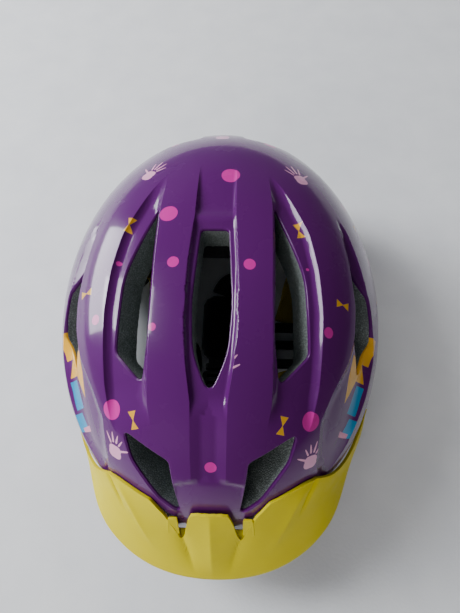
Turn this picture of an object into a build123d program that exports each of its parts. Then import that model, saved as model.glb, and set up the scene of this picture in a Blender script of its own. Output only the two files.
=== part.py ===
from build123d import *
import os
from math import atan2, cos, degrees, pi, radians, sin, sqrt

# A child's cycling helmet, standing on its rim. Millimetres, +Z up, the visor towards -Y and the
# wearer's left at +X. The origin is on the surface it stands on, under the middle of the helmet.

# Driving dimensions of the helmet's form: an oval plan under a superelliptic crown.
HALF_WIDTH = 102.0
HALF_LENGTH = 133.0
WIDEST_Z = 45.0
CROWN_RISE = 105.0
EXPONENT = 2.4
BASE_RADIUS = 100.0
BELOW_FLOOR = -20.0

# Skin and foam.
SHELL_THICKNESS = 1.0
BOND_GAP = 0.2
LINER_INSET = SHELL_THICKNESS + BOND_GAP
TRIM_PROUD = 0.8
TRIM_HEIGHT = 9.0
TRIM_GAP = 0.3
CAVITY_HALF_WIDTH = 80.0
CAVITY_HALF_LENGTH = 105.0
CAVITY_RISE = 81.0

# The rim seen from the side, as (y, z): it dips below the floor where the helmet stands, at the
# temples and the nape, and arches over the ears and the brow.
RIM = [(-150, 26), (-122, 15), (-96, 2), (-72, -3), (-46, 5), (-2, 24), (38, 12), (66, -2), (98, -4),
       (122, 3), (150, 14)]

# Vent outlines in plan, as (x, y, corner radius) on the crown. The centre one is symmetric and
# the others are on the wearer's left.
CENTRE_VENT = [(7.5, 12, 2.5), (10, -30, 150), (8.6, -54, 60), (0, -75, 3.5), (-8.6, -54, 60),
               (-10, -30, 150), (-7.5, 12, 2.5)]
SIDE_VENT = [(31.3, 29.5, 1.2), (47.5, -8, 90), (49.6, -50, 7), (33, -69, 3)]
FRONT_VENT = [(42, -86.5, 2.5), (19, -100.5, 4), (15.3, -122, 1.2), (25, -116, 12), (38.5, -99, 20)]
SLOT_VENT = [(75.5, 4, 1), (85, -12, 14), (87.5, -33, 10), (81, -54, 1.5), (77.5, -34, 40)]
REAR_VENT = [(15, 106, 4), (33, 98.5, 4), (39, 108, 4), (21, 119, 4)]
VENT_OUT = 30.0
VENT_IN = 44.0

# Visor: its edges on the wearer's left, from the middle to the tip of the arm. The upper edge
# lies on the shell, so it needs only (x, z). The lower one is (x, y, z).
VISOR_CLEARANCE = 0.9
VISOR_THICKNESS = 1.8
VISOR_UPPER = [(0, 99), (30, 99), (52, 95), (61, 84), (76, 66), (92.8, 51)]
VISOR_LOWER = [(0, -154.5, 50), (36, -148, 50), (67, -123, 48.5), (80.5, -91, 46.5), (89.2, -72, 45.2),
               (94, -56.5, 44)]
# One of the two notches in the upper edge as (x, z), and the hook that reaches up through it and
# over the edge of the front vent as (y, z).
VISOR_NOTCH = [(9.5, 102), (11.3, 94), (14.6, 78), (16.4, 77.5), (18.9, 84.5), (22.5, 92.5), (30, 102),
               (30, 120), (9.5, 120)]
VISOR_TAB_X = (17.3, 20.3)
VISOR_TAB = [(-136.2, 76), (-126.4, 86), (-121.5, 98), (-118.7, 102), (-113.5, 102), (-113.5, 103.8),
             (-119.4, 103.8), (-123.1, 99), (-128.2, 87), (-137.2, 77.6)]

# Comfort pads: foam held to the liner by hook discs.
DISC_DEPTH = 1.4
DISC_RADIUS = 6.0
PAD_THICKNESS = 4.5
PAD_IN = DISC_DEPTH + 0.1

# Fit system: a half ring that pivots on two temple pins, drawn in by a dial behind the head.
PIVOT_Y = -45.0
PIVOT_Z = 32.0
PIN_RADIUS = 2.5
PIN_FIT = 0.04
PIN_HEAD_RADIUS = 5.0
PIN_HEAD_THICKNESS = 1.8
PIN_LENGTH = 12.8
BAND_THICKNESS = 1.6
BAND_HEIGHT = 12.0
BAND_PATH = [(68, -53), (68, -47), (68, -42), (68.4, -34), (72, -8), (73, 16), (66, 46), (54, 68),
             (44.2, 80)]
DIAL_Z = 24.0
BOX_HALF_WIDTH = 29.0
BOX_HEIGHT = 32.0
BOX_WALL = 1.6
BOX_CORNER = 6.0
POST_X = 22.0
POST_RADIUS = 2.6
POST_BORE = 1.1
SCREW_RADIUS = 1.05
SCREW_HEAD_RADIUS = 2.4
BOX_FRONT_Y = 78.0
BOX_SEAM_Y = 86.4
COVER_GAP = 0.05
COVER_THICKNESS = 2.0
COVER_BACK_Y = BOX_SEAM_Y + COVER_GAP + COVER_THICKNESS
RACK_FRONT_Y = 81.0
RACK_DEPTH = 4.0
RACK_MID_Y = RACK_FRONT_Y + RACK_DEPTH / 2
RACK_BACK = 4.0
SHOE_LENGTH = 3.0
TOOTH_ROOT_HALF = 0.95
TOOTH_TIP_HALF = 0.3
PINION_TEETH = 10
PITCH_RADIUS = 5.0
ADDENDUM = 0.8
DEDENDUM = 1.1
RACK_TEETH = 8
RACK_REACH = 16.0
RACK_TAIL = 43.0
SHAFT_RADIUS = 2.5
DIAL_RADIUS = 14.0
DIAL_DEPTH = 8.0
DIAL_SCALLOPS = 12
SCALLOP_RADIUS = 2.6
DIAL_SCREW_RADIUS = 0.88
DIAL_SCREW_HEAD_RADIUS = 3.2

# Harness: flat webbing, with each side's two straps meeting in a divider.
WEB_WIDTH = 18.0
WEB_THICKNESS = 1.8
ANCHOR_Y = 62.0
ANCHOR_Z = 17.0
BUCKLE_X = -3.0
BUCKLE_Z = 6.4
BUCKLE_WIDTH = 26.0
BUCKLE_HEIGHT = 9.0
FEMALE_FRONT_Y = -67.0
MOUTH_Y = -39.0
MALE_REAR_Y = -23.0
PAD_FRONT_Y = -13.0
PAD_REAR_Y = 43.0
WEB_Z = 5.2
DIVIDER_X = 48.0
DIVIDER_Y = 1.0


def profile_radius(z):
    """The plan's scale at height z: 1 at the widest level and below it."""
    up = max(0.0, (z - WIDEST_Z) / CROWN_RISE)
    return (1 - up**EXPONENT) ** (1 / EXPONENT)


def crown_z(x, y):
    """Height of the outer form above a point of the plan."""
    rho = sqrt((x / HALF_WIDTH) ** 2 + (y / HALF_LENGTH) ** 2)
    return WIDEST_Z + CROWN_RISE * (1 - rho**EXPONENT) ** (1 / EXPONENT)


def outward(x, y):
    """The outer form's normal above a point of the plan."""
    rho = sqrt((x / HALF_WIDTH) ** 2 + (y / HALF_LENGTH) ** 2)
    up = (crown_z(x, y) - WIDEST_Z) / CROWN_RISE
    side = rho ** (EXPONENT - 2)
    slope = up ** (EXPONENT - 1) / CROWN_RISE
    return Vector(side * x / HALF_WIDTH**2, side * y / HALF_LENGTH**2, slope).normalized()


def bowl(half_width, half_length, rise):
    """A solid crown with the given half axes, carried straight down below the floor."""
    steps = 12
    turn = [0.5 * pi * k / steps for k in range(steps + 1)]
    power = 2 / EXPONENT
    arc = [(BASE_RADIUS * cos(t) ** power, WIDEST_Z + rise * sin(t) ** power) for t in turn[:-1]]
    arc.append((0, WIDEST_Z + rise))
    side = Line((BASE_RADIUS, BELOW_FLOOR), arc[0])
    crown = Spline(*arc, tangents=[(0, 1), (-1, 0)])
    base = Polyline(arc[-1], (0, BELOW_FLOOR), (BASE_RADIUS, BELOW_FLOOR))
    half = Plane.XZ * make_face(side + crown + base)
    return scale(revolve(half, axis=Axis.Z), by=(half_width / BASE_RADIUS, half_length / BASE_RADIUS, 1))


def outer_form(inset):
    return bowl(HALF_WIDTH - inset, HALF_LENGTH - inset, CROWN_RISE - inset)


def cavity_form(inset):
    return bowl(CAVITY_HALF_WIDTH - inset, CAVITY_HALF_LENGTH - inset, CAVITY_RISE - inset)


def above_rim(lift, top=300.0):
    """Everything more than lift above the rim line."""
    line = Spline(*[(y, z + lift) for y, z in RIM])
    (y0, z0), (y1, z1) = RIM[0], RIM[-1]
    edge = Polyline((y1, z1 + lift), (y1, top), (y0, top), (y0, z0 + lift))
    return extrude(Plane.YZ * make_face(line + edge), 150, both=True)


def mirrored(shape):
    return mirror(shape, about=Plane.YZ)


def vent_cutter(outline):
    """A prism through the wall, square to the crown at the outline's middle."""
    n = len(outline)
    mid_x, mid_y = sum(p[0] for p in outline) / n, sum(p[1] for p in outline) / n
    frame = Plane(origin=(mid_x, mid_y, crown_z(mid_x, mid_y)), z_dir=outward(mid_x, mid_y))
    flat = [frame.to_local_coords(Vector(x, y, crown_z(x, y))) for x, y, _ in outline]
    loop = FilletPolyline(*[(p.X, p.Y) for p in flat], radius=[p[2] for p in outline], close=True)
    face = make_face(loop)
    return extrude(frame * face, VENT_OUT) + extrude(frame * face, -VENT_IN)


def vent_cutters():
    paired = [vent_cutter(v) for v in (SIDE_VENT, FRONT_VENT, SLOT_VENT, REAR_VENT)]
    return [vent_cutter(CENTRE_VENT)] + paired + [mirrored(p) for p in paired]


def helmet_skins(vents):
    """The glossy outer shell, the dark edge trim under it and the foam liner that carries both."""
    floor = Pos(0, 0, 200) * Box(400, 400, 400)
    foot = 1.2
    shell = (outer_form(0) - outer_form(SHELL_THICKNESS)) & above_rim(TRIM_HEIGHT + TRIM_GAP)
    trim = (outer_form(-TRIM_PROUD) - outer_form(SHELL_THICKNESS)) & (Pos(0, 0, foot) * floor)
    trim = (trim & above_rim(foot)) - above_rim(TRIM_HEIGHT)
    liner = (outer_form(LINER_INSET) - cavity_form(0)) & above_rim(0) & floor
    return shell - vents, liner - vents, trim


def visor_face_edge(points):
    right = [(-p[0], *p[1:]) for p in points[:0:-1]]
    return Spline(*right, *points)


def visor():
    """A peak wrapped round the front, ending in an arm along each temple."""
    upper = []
    for x, z in VISOR_UPPER:
        across = x / (HALF_WIDTH + VISOR_CLEARANCE)
        upper.append((x, -(HALF_LENGTH + VISOR_CLEARANCE) * sqrt(profile_radius(z) ** 2 - across**2), z))
    face = Face.make_surface_from_curves(visor_face_edge(upper), visor_face_edge(VISOR_LOWER))
    body = Solid.thicken(face, VISOR_THICKNESS)
    if body.bounding_box().min.Y > VISOR_LOWER[0][1] - 0.5:
        body = Solid.thicken(face, -VISOR_THICKNESS)
    notch = extrude(Plane.XZ * make_face(Polyline(*VISOR_NOTCH, close=True)), 200)
    body = body - notch - mirrored(notch)
    x0, x1 = VISOR_TAB_X
    tab = Pos(x0, 0, 0) * extrude(Plane.YZ * make_face(Polyline(*VISOR_TAB, close=True)), x1 - x0)
    return body + tab + mirrored(tab)


def pad_on_cavity(outline_plane, corners, reach, radius=6.0):
    """A pad that follows the cavity wall inside an outline carried along a plane's normal."""
    layer = cavity_form(PAD_IN) - cavity_form(PAD_IN + PAD_THICKNESS)
    loop = FilletPolyline(*corners, radius=radius, close=True)
    return layer & extrude(outline_plane * make_face(loop), reach)


def comfort_pads():
    crown = pad_on_cavity(Plane.XY, [(13.5, -48), (27, -48), (27.5, 30), (14, 38)], 200, 4)
    temple = pad_on_cavity(Plane.YZ, [(-22, 50), (42, 50), (34, 76), (-16, 76)], 200)
    brow = pad_on_cavity(Plane.XZ, [(-46, 26), (46, 26), (40, 50), (-40, 50)], 200)
    return brow, crown, temple


def hook_disc(x, y, z, direction):
    """A hook disc on the cavity wall at the point where a line from (x, y, z) meets it."""
    rod = Plane(origin=(x, y, z), z_dir=direction) * Cylinder(DISC_RADIUS, 60)
    return rod & (cavity_form(0.05) - cavity_form(DISC_DEPTH))


def hook_discs():
    left = [hook_disc(20.5, y, 118, (0, 0, 1)) for y in (-34, 20)]
    left += [hook_disc(76, y, 63, (1, 0, 0)) for y in (-6, 26)]
    left.append(hook_disc(30, -98, 38, (0, 1, 0)))
    return [s for disc in left for s in (*disc.solids(), *mirrored(disc).solids())]


def upright_strip(path, thickness, z_low, z_high):
    """A strip standing on edge along a smooth path in plan."""
    normals = []
    for k in range(len(path)):
        (ax, ay), (bx, by) = path[max(k - 1, 0)], path[min(k + 1, len(path) - 1)]
        length = sqrt((bx - ax) ** 2 + (by - ay) ** 2)
        normals.append(((by - ay) / length, (ax - bx) / length))
    half = thickness / 2
    outer = [(x + nx * half, y + ny * half) for (x, y), (nx, ny) in zip(path, normals)]
    inner = [(x - nx * half, y - ny * half) for (x, y), (nx, ny) in zip(path, normals)]
    edges = Spline(*outer) + Line(outer[-1], inner[-1]) + Spline(*inner[::-1]) + Line(inner[0], outer[0])
    return Pos(0, 0, z_low) * extrude(make_face(edges), z_high - z_low)


def temple_pin():
    """A push pin into the liner: the band turns on its shank."""
    seat_x = BAND_PATH[0][0] - BAND_THICKNESS / 2 - 0.4
    turned = Rot(0, 90, 0)
    head = turned * Cylinder(PIN_HEAD_RADIUS, PIN_HEAD_THICKNESS)
    shank = turned * Cylinder(PIN_RADIUS, PIN_LENGTH)
    head = Pos(seat_x - PIN_HEAD_THICKNESS / 2, PIVOT_Y, PIVOT_Z) * head
    return head + Pos(seat_x + PIN_LENGTH / 2, PIVOT_Y, PIVOT_Z) * shank


def pin_hole(radius):
    return Pos(BAND_PATH[0][0], PIVOT_Y, PIVOT_Z) * Rot(0, 90, 0) * Cylinder(radius, 28)


def fit_band():
    """From the temple pin round the side of the head to its rack."""
    low = PIVOT_Z - BAND_HEIGHT / 2
    band = upright_strip(BAND_PATH, BAND_THICKNESS, low, low + BAND_HEIGHT)
    return band - pin_hole(PIN_RADIUS + 2 * PIN_FIT)


def rack(side):
    """A toothed bar in the dial's housing. The left one runs under the pinion, the right over it."""
    pitch_z = DIAL_Z - side * PITCH_RADIUS
    root_z = pitch_z - side * DEDENDUM
    low, high = sorted((root_z, root_z - side * RACK_BACK))
    mid_x = side * (RACK_TAIL - RACK_REACH) / 2
    bar = Pos(mid_x, RACK_MID_Y, (low + high) / 2) * Box(RACK_REACH + RACK_TAIL, RACK_DEPTH, RACK_BACK)
    pitch = 2 * pi * PITCH_RADIUS / PINION_TEETH
    tip_z = pitch_z + side * ADDENDUM
    for k in range(RACK_TEETH):
        x = (k - (RACK_TEETH - 1) / 2) * pitch
        root = [(x - TOOTH_ROOT_HALF, root_z), (x + TOOTH_ROOT_HALF, root_z)]
        tip = [(x - TOOTH_TIP_HALF, tip_z), (x + TOOTH_TIP_HALF, tip_z)]
        tooth = Plane.XZ * make_face(Polyline(root[0], *tip, root[1], close=True))
        bar += Pos(0, RACK_FRONT_Y + RACK_DEPTH, 0) * extrude(tooth, RACK_DEPTH)
    end_x = side * (RACK_TAIL - SHOE_LENGTH / 2)
    band_low = PIVOT_Z - BAND_HEIGHT / 2
    shoe_low, shoe_high = min(low, band_low), max(high, band_low + BAND_HEIGHT)
    shoe = Box(SHOE_LENGTH, RACK_DEPTH, shoe_high - shoe_low)
    return bar + Pos(end_x, RACK_MID_Y, (shoe_low + shoe_high) / 2) * shoe


def pinion():
    tip, root = PITCH_RADIUS + ADDENDUM, PITCH_RADIUS - DEDENDUM
    gear = Circle(root)
    left = [(-TOOTH_ROOT_HALF, root - 0.5), (-TOOTH_ROOT_HALF, root), (-TOOTH_TIP_HALF, tip)]
    tooth = make_face(Polyline(*left, *[(-x, r) for x, r in left[::-1]], close=True))
    for k in range(PINION_TEETH):
        gear += Rot(0, 0, 360 * k / PINION_TEETH) * tooth
    upright = Plane(origin=(0, RACK_FRONT_Y, DIAL_Z), x_dir=(1, 0, 0), z_dir=(0, 1, 0))
    wheel = upright * extrude(gear, RACK_DEPTH)
    return wheel - along_y(SHAFT_RADIUS + 0.02, RACK_FRONT_Y - 1, RACK_FRONT_Y + RACK_DEPTH + 1)


def along_y(radius, y0, y1, x=0.0, z=DIAL_Z):
    """A cylinder between two y positions, on the dial's axis unless x or z is given."""
    return Pos(x, (y0 + y1) / 2, z) * Rot(90, 0, 0) * Cylinder(radius, y1 - y0)


def dial_housing():
    """The tray next to the head, with the racks' ways out at both ends."""
    depth = BOX_SEAM_Y - BOX_FRONT_Y
    mid_y = BOX_FRONT_Y + depth / 2
    block = Pos(0, mid_y, DIAL_Z) * Box(2 * BOX_HALF_WIDTH, depth, BOX_HEIGHT)
    block = fillet(block.edges().filter_by(Axis.Y), BOX_CORNER)
    past = 0.4
    room = Box(2 * (BOX_HALF_WIDTH - BOX_WALL), depth - BOX_WALL + past, BOX_HEIGHT - 2 * BOX_WALL)
    tray = block - Pos(0, mid_y + (BOX_WALL + past) / 2, DIAL_Z) * room
    slot_z = PITCH_RADIUS + DEDENDUM + RACK_BACK / 2
    for s in (-1, 1):
        tray -= Pos(0, RACK_MID_Y, DIAL_Z + s * slot_z) * Box(90, RACK_DEPTH + 0.6, RACK_BACK + 0.6)
    for s in (-1, 1):
        tray += along_y(POST_RADIUS, BOX_FRONT_Y + 1, BOX_SEAM_Y, s * POST_X)
        tray -= along_y(POST_BORE, BOX_FRONT_Y + 2, BOX_SEAM_Y + 1, s * POST_X)
    return tray


def dial_cover():
    """The plate that closes the housing, with holes for the shaft and the two screws."""
    plate = Box(2 * BOX_HALF_WIDTH, COVER_THICKNESS, BOX_HEIGHT)
    plate = fillet(plate.edges().filter_by(Axis.Y), BOX_CORNER)
    plate = Pos(0, COVER_BACK_Y - COVER_THICKNESS / 2, DIAL_Z) * plate
    plate -= along_y(SHAFT_RADIUS + 0.06, BOX_SEAM_Y - 1, COVER_BACK_Y + 1)
    for s in (-1, 1):
        plate -= along_y(SCREW_RADIUS + 0.3, BOX_SEAM_Y - 1, COVER_BACK_Y + 1, s * POST_X)
    return plate


def cover_screws():
    """The two slotted screws that hold the cover to the housing's posts."""
    screws = []
    for s in (-1, 1):
        head = along_y(SCREW_HEAD_RADIUS, COVER_BACK_Y + 0.05, COVER_BACK_Y + 1.4, s * POST_X)
        shank = along_y(SCREW_RADIUS, BOX_FRONT_Y + 3, COVER_BACK_Y + 0.1, s * POST_X)
        slot = Pos(s * POST_X, COVER_BACK_Y + 1.3, DIAL_Z) * Box(3.2, 0.9, 0.7)
        screws.append(head + shank - slot)
    return screws


def fit_dial():
    """A scalloped knob and the shaft that carries the pinion."""
    near = COVER_BACK_Y + 1.55
    knob = along_y(DIAL_RADIUS, near, near + DIAL_DEPTH)
    knob = chamfer(knob.edges().filter_by(GeomType.CIRCLE), 1.2)
    for k in range(DIAL_SCALLOPS):
        turn = 2 * pi * k / DIAL_SCALLOPS
        x, z = (DIAL_RADIUS + 1.2) * cos(turn), DIAL_Z + (DIAL_RADIUS + 1.2) * sin(turn)
        knob -= along_y(SCALLOP_RADIUS, near - 1, near + DIAL_DEPTH + 1, x, z)
    shaft = along_y(SHAFT_RADIUS, RACK_FRONT_Y + 0.2, near + 1)
    return knob + shaft - along_y(DIAL_SCREW_RADIUS + 0.02, RACK_FRONT_Y, RACK_FRONT_Y + 5)


def dial_screw():
    """The screw that holds the pinion on the dial's shaft."""
    front = RACK_FRONT_Y - 0.02
    head = along_y(DIAL_SCREW_HEAD_RADIUS, front - 0.9, front)
    return head + along_y(DIAL_SCREW_RADIUS, front - 0.1, front + 4.5)


def nape_pad():
    """The cushion between the housing and the nape."""
    pad = Pos(0, BOX_FRONT_Y - 2.2, DIAL_Z) * Box(50, 4, 26)
    return fillet(pad.edges().filter_by(Axis.Y), 7)


def ribbon(points, across):
    """Webbing whose underside runs through points, with the direction of its width at each one."""
    half = WEB_WIDTH / 2
    sides = []
    for s in (-1, 1):
        edge = [tuple(p[i] + s * half * a[i] for i in range(3)) for p, a in zip(points, across)]
        sides.append(Spline(*edge))
    face = Face.make_surface_from_curves(sides[0], sides[1])
    strips = [Solid.thicken(face, way * WEB_THICKNESS) for way in (1, -1)]
    return max(strips, key=lambda strip: strip.center().Z)


# Each strap as (path, width directions). The paired ones are on the wearer's left.
FRONT_STRAP = ([(61.4, -60.4, 16.1), (59, -59, 15.5), (56.6, -55, 9.6), (55, -48, 2.7), (52, -34, 0.6),
                (48, -19, 0.6)],
               [(0.49, 0.87, 0), (0.49, 0.87, 0), (0.7, 0.71, 0), (0.96, 0.28, 0), (0.97, 0.24, 0),
                (0.98, 0.2, 0)])
REAR_STRAP = ([(61.4, 60.4, 16.1), (59, 59, 15.5), (56.6, 55, 9.6), (55, 48, 2.7), (52, 35, 0.6),
               (48, 21, 0.6)],
              [(0.49, -0.87, 0), (0.49, -0.87, 0), (0.7, -0.71, 0), (0.96, -0.28, 0), (0.97, -0.24, 0),
               (0.98, -0.2, 0)])
CHIN_STRAP_LEFT = ([(37, 1, 1.5), (31, 3.5, 1.2), (27.5, 11, 0.6), (27, 24, 0.5), (27, 41, 0.8),
                    (22.6, 53, 2.0), (12, 57.5, 3.2), (1.4, 53, 4.0), (-3, 44.2, 4.3)],
                   [(0, 1, 0), (0.38, 0.92, 0), (0.9, 0.44, 0), (1, 0, 0), (1, 0.05, 0),
                    (0.71, 0.71, 0), (0, 1, 0), (-0.71, 0.71, 0), (-1, 0, 0)])
CHIN_STRAP_RIGHT = ([(-37, 1, 1.5), (-31, -1.5, 1.2), (-27.5, -9, 0.6), (-27, -24, 0.5), (-27, -68, 0.6),
                     (-24.5, -79, 1.5), (-15, -85, 2.6), (-5.5, -79, 3.8), (-3, -68.6, 4.5)],
                    [(0, -1, 0), (-0.38, -0.92, 0), (-0.9, -0.44, 0), (-1, 0, 0), (-1, -0.05, 0),
                     (-0.8, -0.6, 0), (0, -1, 0), (0.8, -0.6, 0), (1, 0, 0)])


def strap_anchor(side_y):
    """A slotted plate set on the cavity wall."""
    wall_x = CAVITY_HALF_WIDTH * sqrt(1 - (ANCHOR_Y / CAVITY_HALF_LENGTH) ** 2)
    slope = atan2(side_y * ANCHOR_Y / CAVITY_HALF_LENGTH**2, wall_x / CAVITY_HALF_WIDTH**2)
    plate = Rot(0, 0, degrees(slope)) * (Box(3.0, 24.0, 12.0) - Box(5.0, WEB_WIDTH + 1.0, 3.4))
    stand_off = 2.2
    y = side_y * (ANCHOR_Y - stand_off * sin(abs(slope)))
    return Pos(wall_x - stand_off * cos(slope) - 0.5, y, ANCHOR_Z) * plate


def divider():
    """The plate below the ear where the front and rear straps join the chin strap."""
    middle = Pos(DIVIDER_X, DIVIDER_Y, 3.3)
    below = Pos(DIVIDER_X, DIVIDER_Y, 2.4)
    frame = middle * Box(24, 36, 6)
    frame = fillet(frame.edges().filter_by(Axis.Z), 5)
    frame -= middle * Box(WEB_WIDTH + 0.6, 24, 8)
    frame += middle * Box(22, 7, 3.2)
    frame -= below * Box(WEB_WIDTH + 0.6, 40, 3.2)
    return frame - below * Pos(-12, 0, 0) * Box(10, WEB_WIDTH + 2.4, 3.4)


def buckle_female():
    """A flat pocket for the prongs, with a window in each side and a bar for the webbing."""
    length = MOUTH_Y - FEMALE_FRONT_Y
    mid_y = (MOUTH_Y + FEMALE_FRONT_Y) / 2
    room = BUCKLE_HEIGHT - 3.6
    body = Pos(BUCKLE_X, mid_y, BUCKLE_Z) * Box(BUCKLE_WIDTH, length, BUCKLE_HEIGHT)
    body = fillet(body.edges().filter_by(Axis.Z), 4)
    pocket = Pos(BUCKLE_X, mid_y + 3, BUCKLE_Z) * Box(BUCKLE_WIDTH - 4.4, length - 2, room)
    windows = Pos(BUCKLE_X, mid_y + 2, BUCKLE_Z) * Box(BUCKLE_WIDTH + 4, 10, room)
    slot = Pos(BUCKLE_X, FEMALE_FRONT_Y + 2.2, BUCKLE_Z) * Box(WEB_WIDTH + 0.8, 1.4, BUCKLE_HEIGHT + 2)
    return body - pocket - windows - slot


def buckle_male():
    """The plug: a ladder bar for the webbing, a guide tongue and two springy prongs."""
    width = BUCKLE_WIDTH - 5.2
    base_y = (MALE_REAR_Y + MOUTH_Y) / 2
    gap = 0.4
    base = Box(BUCKLE_WIDTH, MALE_REAR_Y - MOUTH_Y - gap, BUCKLE_HEIGHT - 1)
    base = Pos(BUCKLE_X, base_y + gap / 2, BUCKLE_Z) * base
    base = fillet(base.edges().filter_by(Axis.Z), 3)
    for y in (base_y + 4.2, base_y - 1.2):
        base -= Pos(BUCKLE_X, y, BUCKLE_Z) * Box(WEB_WIDTH + 0.8, 2.6, BUCKLE_HEIGHT + 2)
    thick = BUCKLE_HEIGHT - 4.6
    tongue = Pos(BUCKLE_X, MOUTH_Y - 7, BUCKLE_Z) * Box(3.2, 15, thick)
    prongs = []
    for s in (-1, 1):
        arm = Pos(BUCKLE_X + s * (width / 2 - 1.4), MOUTH_Y - 8, BUCKLE_Z) * Box(2.8, 17, thick)
        tip = Pos(BUCKLE_X + s * (width / 2 - 2.2), MOUTH_Y - 15, BUCKLE_Z) * Box(4.4, 5, thick)
        prongs.append(arm + tip)
    return base + tongue + prongs[0] + prongs[1]


def chin_pad():
    """A padded sleeve round the chin strap."""
    pad = Pos(BUCKLE_X, (PAD_FRONT_Y + PAD_REAR_Y) / 2, 5.6) * Box(32, PAD_REAR_Y - PAD_FRONT_Y, 10)
    pad = fillet(pad.edges().filter_by(Axis.Z), 10)
    pad = fillet(pad.edges().filter_by(Axis.Y), 3)
    return pad - chin_web()


def strap_keeper():
    """The rubber loop that holds the webbing's tail."""
    outer = Pos(BUCKLE_X, PAD_FRONT_Y - 5, WEB_Z) * Box(WEB_WIDTH + 4.6, 4, 6.6)
    inner = Pos(BUCKLE_X, PAD_FRONT_Y - 5, WEB_Z) * Box(WEB_WIDTH + 1.2, 6, 3.4)
    return fillet(outer.edges().filter_by(Axis.Y), 2) - inner


def chin_web():
    """The webbing between the chin pad and the buckle's ladder bar."""
    front, rear = MALE_REAR_Y + 0.1, PAD_FRONT_Y + 2
    return Pos(BUCKLE_X, (front + rear) / 2, WEB_Z) * Box(WEB_WIDTH, rear - front, WEB_THICKNESS)


def write(name, shape):
    solids = shape if isinstance(shape, list) else shape.solids()
    made = solids[0] if len(solids) == 1 else Compound(children=list(solids))
    export_step(made, f"parts/{name}.step")


def main():
    os.makedirs("parts", exist_ok=True)
    vents = vent_cutters()
    shell, liner, trim = helmet_skins(vents)
    hole = pin_hole(PIN_RADIUS + PIN_FIT)
    write("outer_shell", shell)
    write("edge_trim", trim)
    write("foam_liner", liner - hole - mirrored(hole))
    write("visor", visor())

    brow, crown, temple = comfort_pads()
    write("brow_pad", brow)
    write("crown_pad_left", crown)
    write("crown_pad_right", mirrored(crown))
    write("temple_pad_left", temple)
    write("temple_pad_right", mirrored(temple))
    write("pad_hook_discs", hook_discs())

    band = fit_band()
    for name, side in (("left", 1), ("right", -1)):
        flip = (lambda s: s) if side > 0 else mirrored
        write(f"temple_pin_{name}", flip(temple_pin()))
        write(f"fit_band_{name}", flip(band))
        write(f"fit_rack_{name}", rack(side))
        write(f"front_strap_{name}", flip(ribbon(*FRONT_STRAP)))
        write(f"rear_strap_{name}", flip(ribbon(*REAR_STRAP)))
        write(f"strap_divider_{name}", flip(divider()))
    write("dial_housing", dial_housing())
    write("dial_cover", dial_cover())
    write("cover_screws", cover_screws())
    write("fit_dial", fit_dial())
    write("dial_pinion", pinion())
    write("dial_screw", dial_screw())
    write("nape_pad", nape_pad())

    anchors = [strap_anchor(s) for s in (-1, 1)]
    write("strap_anchors", anchors + [mirrored(a) for a in anchors])
    write("chin_strap_left", ribbon(*CHIN_STRAP_LEFT))
    write("chin_strap_right", ribbon(*CHIN_STRAP_RIGHT))
    write("chin_web", chin_web())
    write("chin_pad", chin_pad())
    write("strap_keeper", strap_keeper())
    write("buckle_female", buckle_female())
    write("buckle_male", buckle_male())


main()
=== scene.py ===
from math import asin, cos, hypot, pi, radians, sin, sqrt

import bmesh
import bpy
import numpy as np
from mathutils import Matrix, Vector
from mathutils.geometry import delaunay_2d_cdt


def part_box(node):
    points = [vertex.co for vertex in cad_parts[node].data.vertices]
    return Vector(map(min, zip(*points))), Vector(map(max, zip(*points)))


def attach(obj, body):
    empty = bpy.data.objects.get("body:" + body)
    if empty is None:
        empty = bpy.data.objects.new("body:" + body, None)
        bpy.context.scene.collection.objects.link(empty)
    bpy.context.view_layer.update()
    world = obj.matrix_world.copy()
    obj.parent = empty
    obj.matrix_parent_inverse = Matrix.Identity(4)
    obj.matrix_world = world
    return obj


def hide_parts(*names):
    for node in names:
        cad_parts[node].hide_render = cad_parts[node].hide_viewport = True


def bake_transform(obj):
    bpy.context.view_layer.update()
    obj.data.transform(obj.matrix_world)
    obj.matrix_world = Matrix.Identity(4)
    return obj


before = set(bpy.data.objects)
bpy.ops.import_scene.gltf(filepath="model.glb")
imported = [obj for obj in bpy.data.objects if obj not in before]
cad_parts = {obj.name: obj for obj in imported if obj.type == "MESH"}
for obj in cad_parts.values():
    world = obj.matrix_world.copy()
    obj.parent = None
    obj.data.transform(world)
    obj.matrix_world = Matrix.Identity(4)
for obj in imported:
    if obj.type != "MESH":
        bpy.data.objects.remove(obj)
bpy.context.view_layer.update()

# Lengths are in millimetres in the row frame, and MM takes them to metres. Only bump distances,
# the scales of noise and weave, the ends of blends and the lights are in metres already.
MM = 0.001

# The helmet's outer form and the cavity: half width, half length and rise of a superelliptic
# crown over a straight wall that starts at WIDEST_Z. RIM is the lower edge's height against y.
HALF_WIDTH, HALF_LENGTH, CROWN_RISE = 102.0, 133.0, 105.0
CAVITY = (80.0, 105.0, 81.0)
WIDEST_Z = 45.0
EXPONENT = 2.4
WALL_RATE = 110.0
RIM = [(-150, 26), (-122, 15), (-96, 2), (-72, -3), (-46, 5), (-2, 24),
       (38, 12), (66, -2), (98, -4), (122, 3), (150, 14)]

# The foam lies under the shell, a small gap inside its back. The shell's lower edge and the
# trim's two edges are heights above the rim.
SHELL_THICKNESS, FOAM_GAP = 1.0, 0.25
FOAM_INSET = SHELL_THICKNESS + FOAM_GAP
SHELL_LOW = 9.3
TRIM_RISE, TRIM_TOP = 1.2, 9.0

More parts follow.
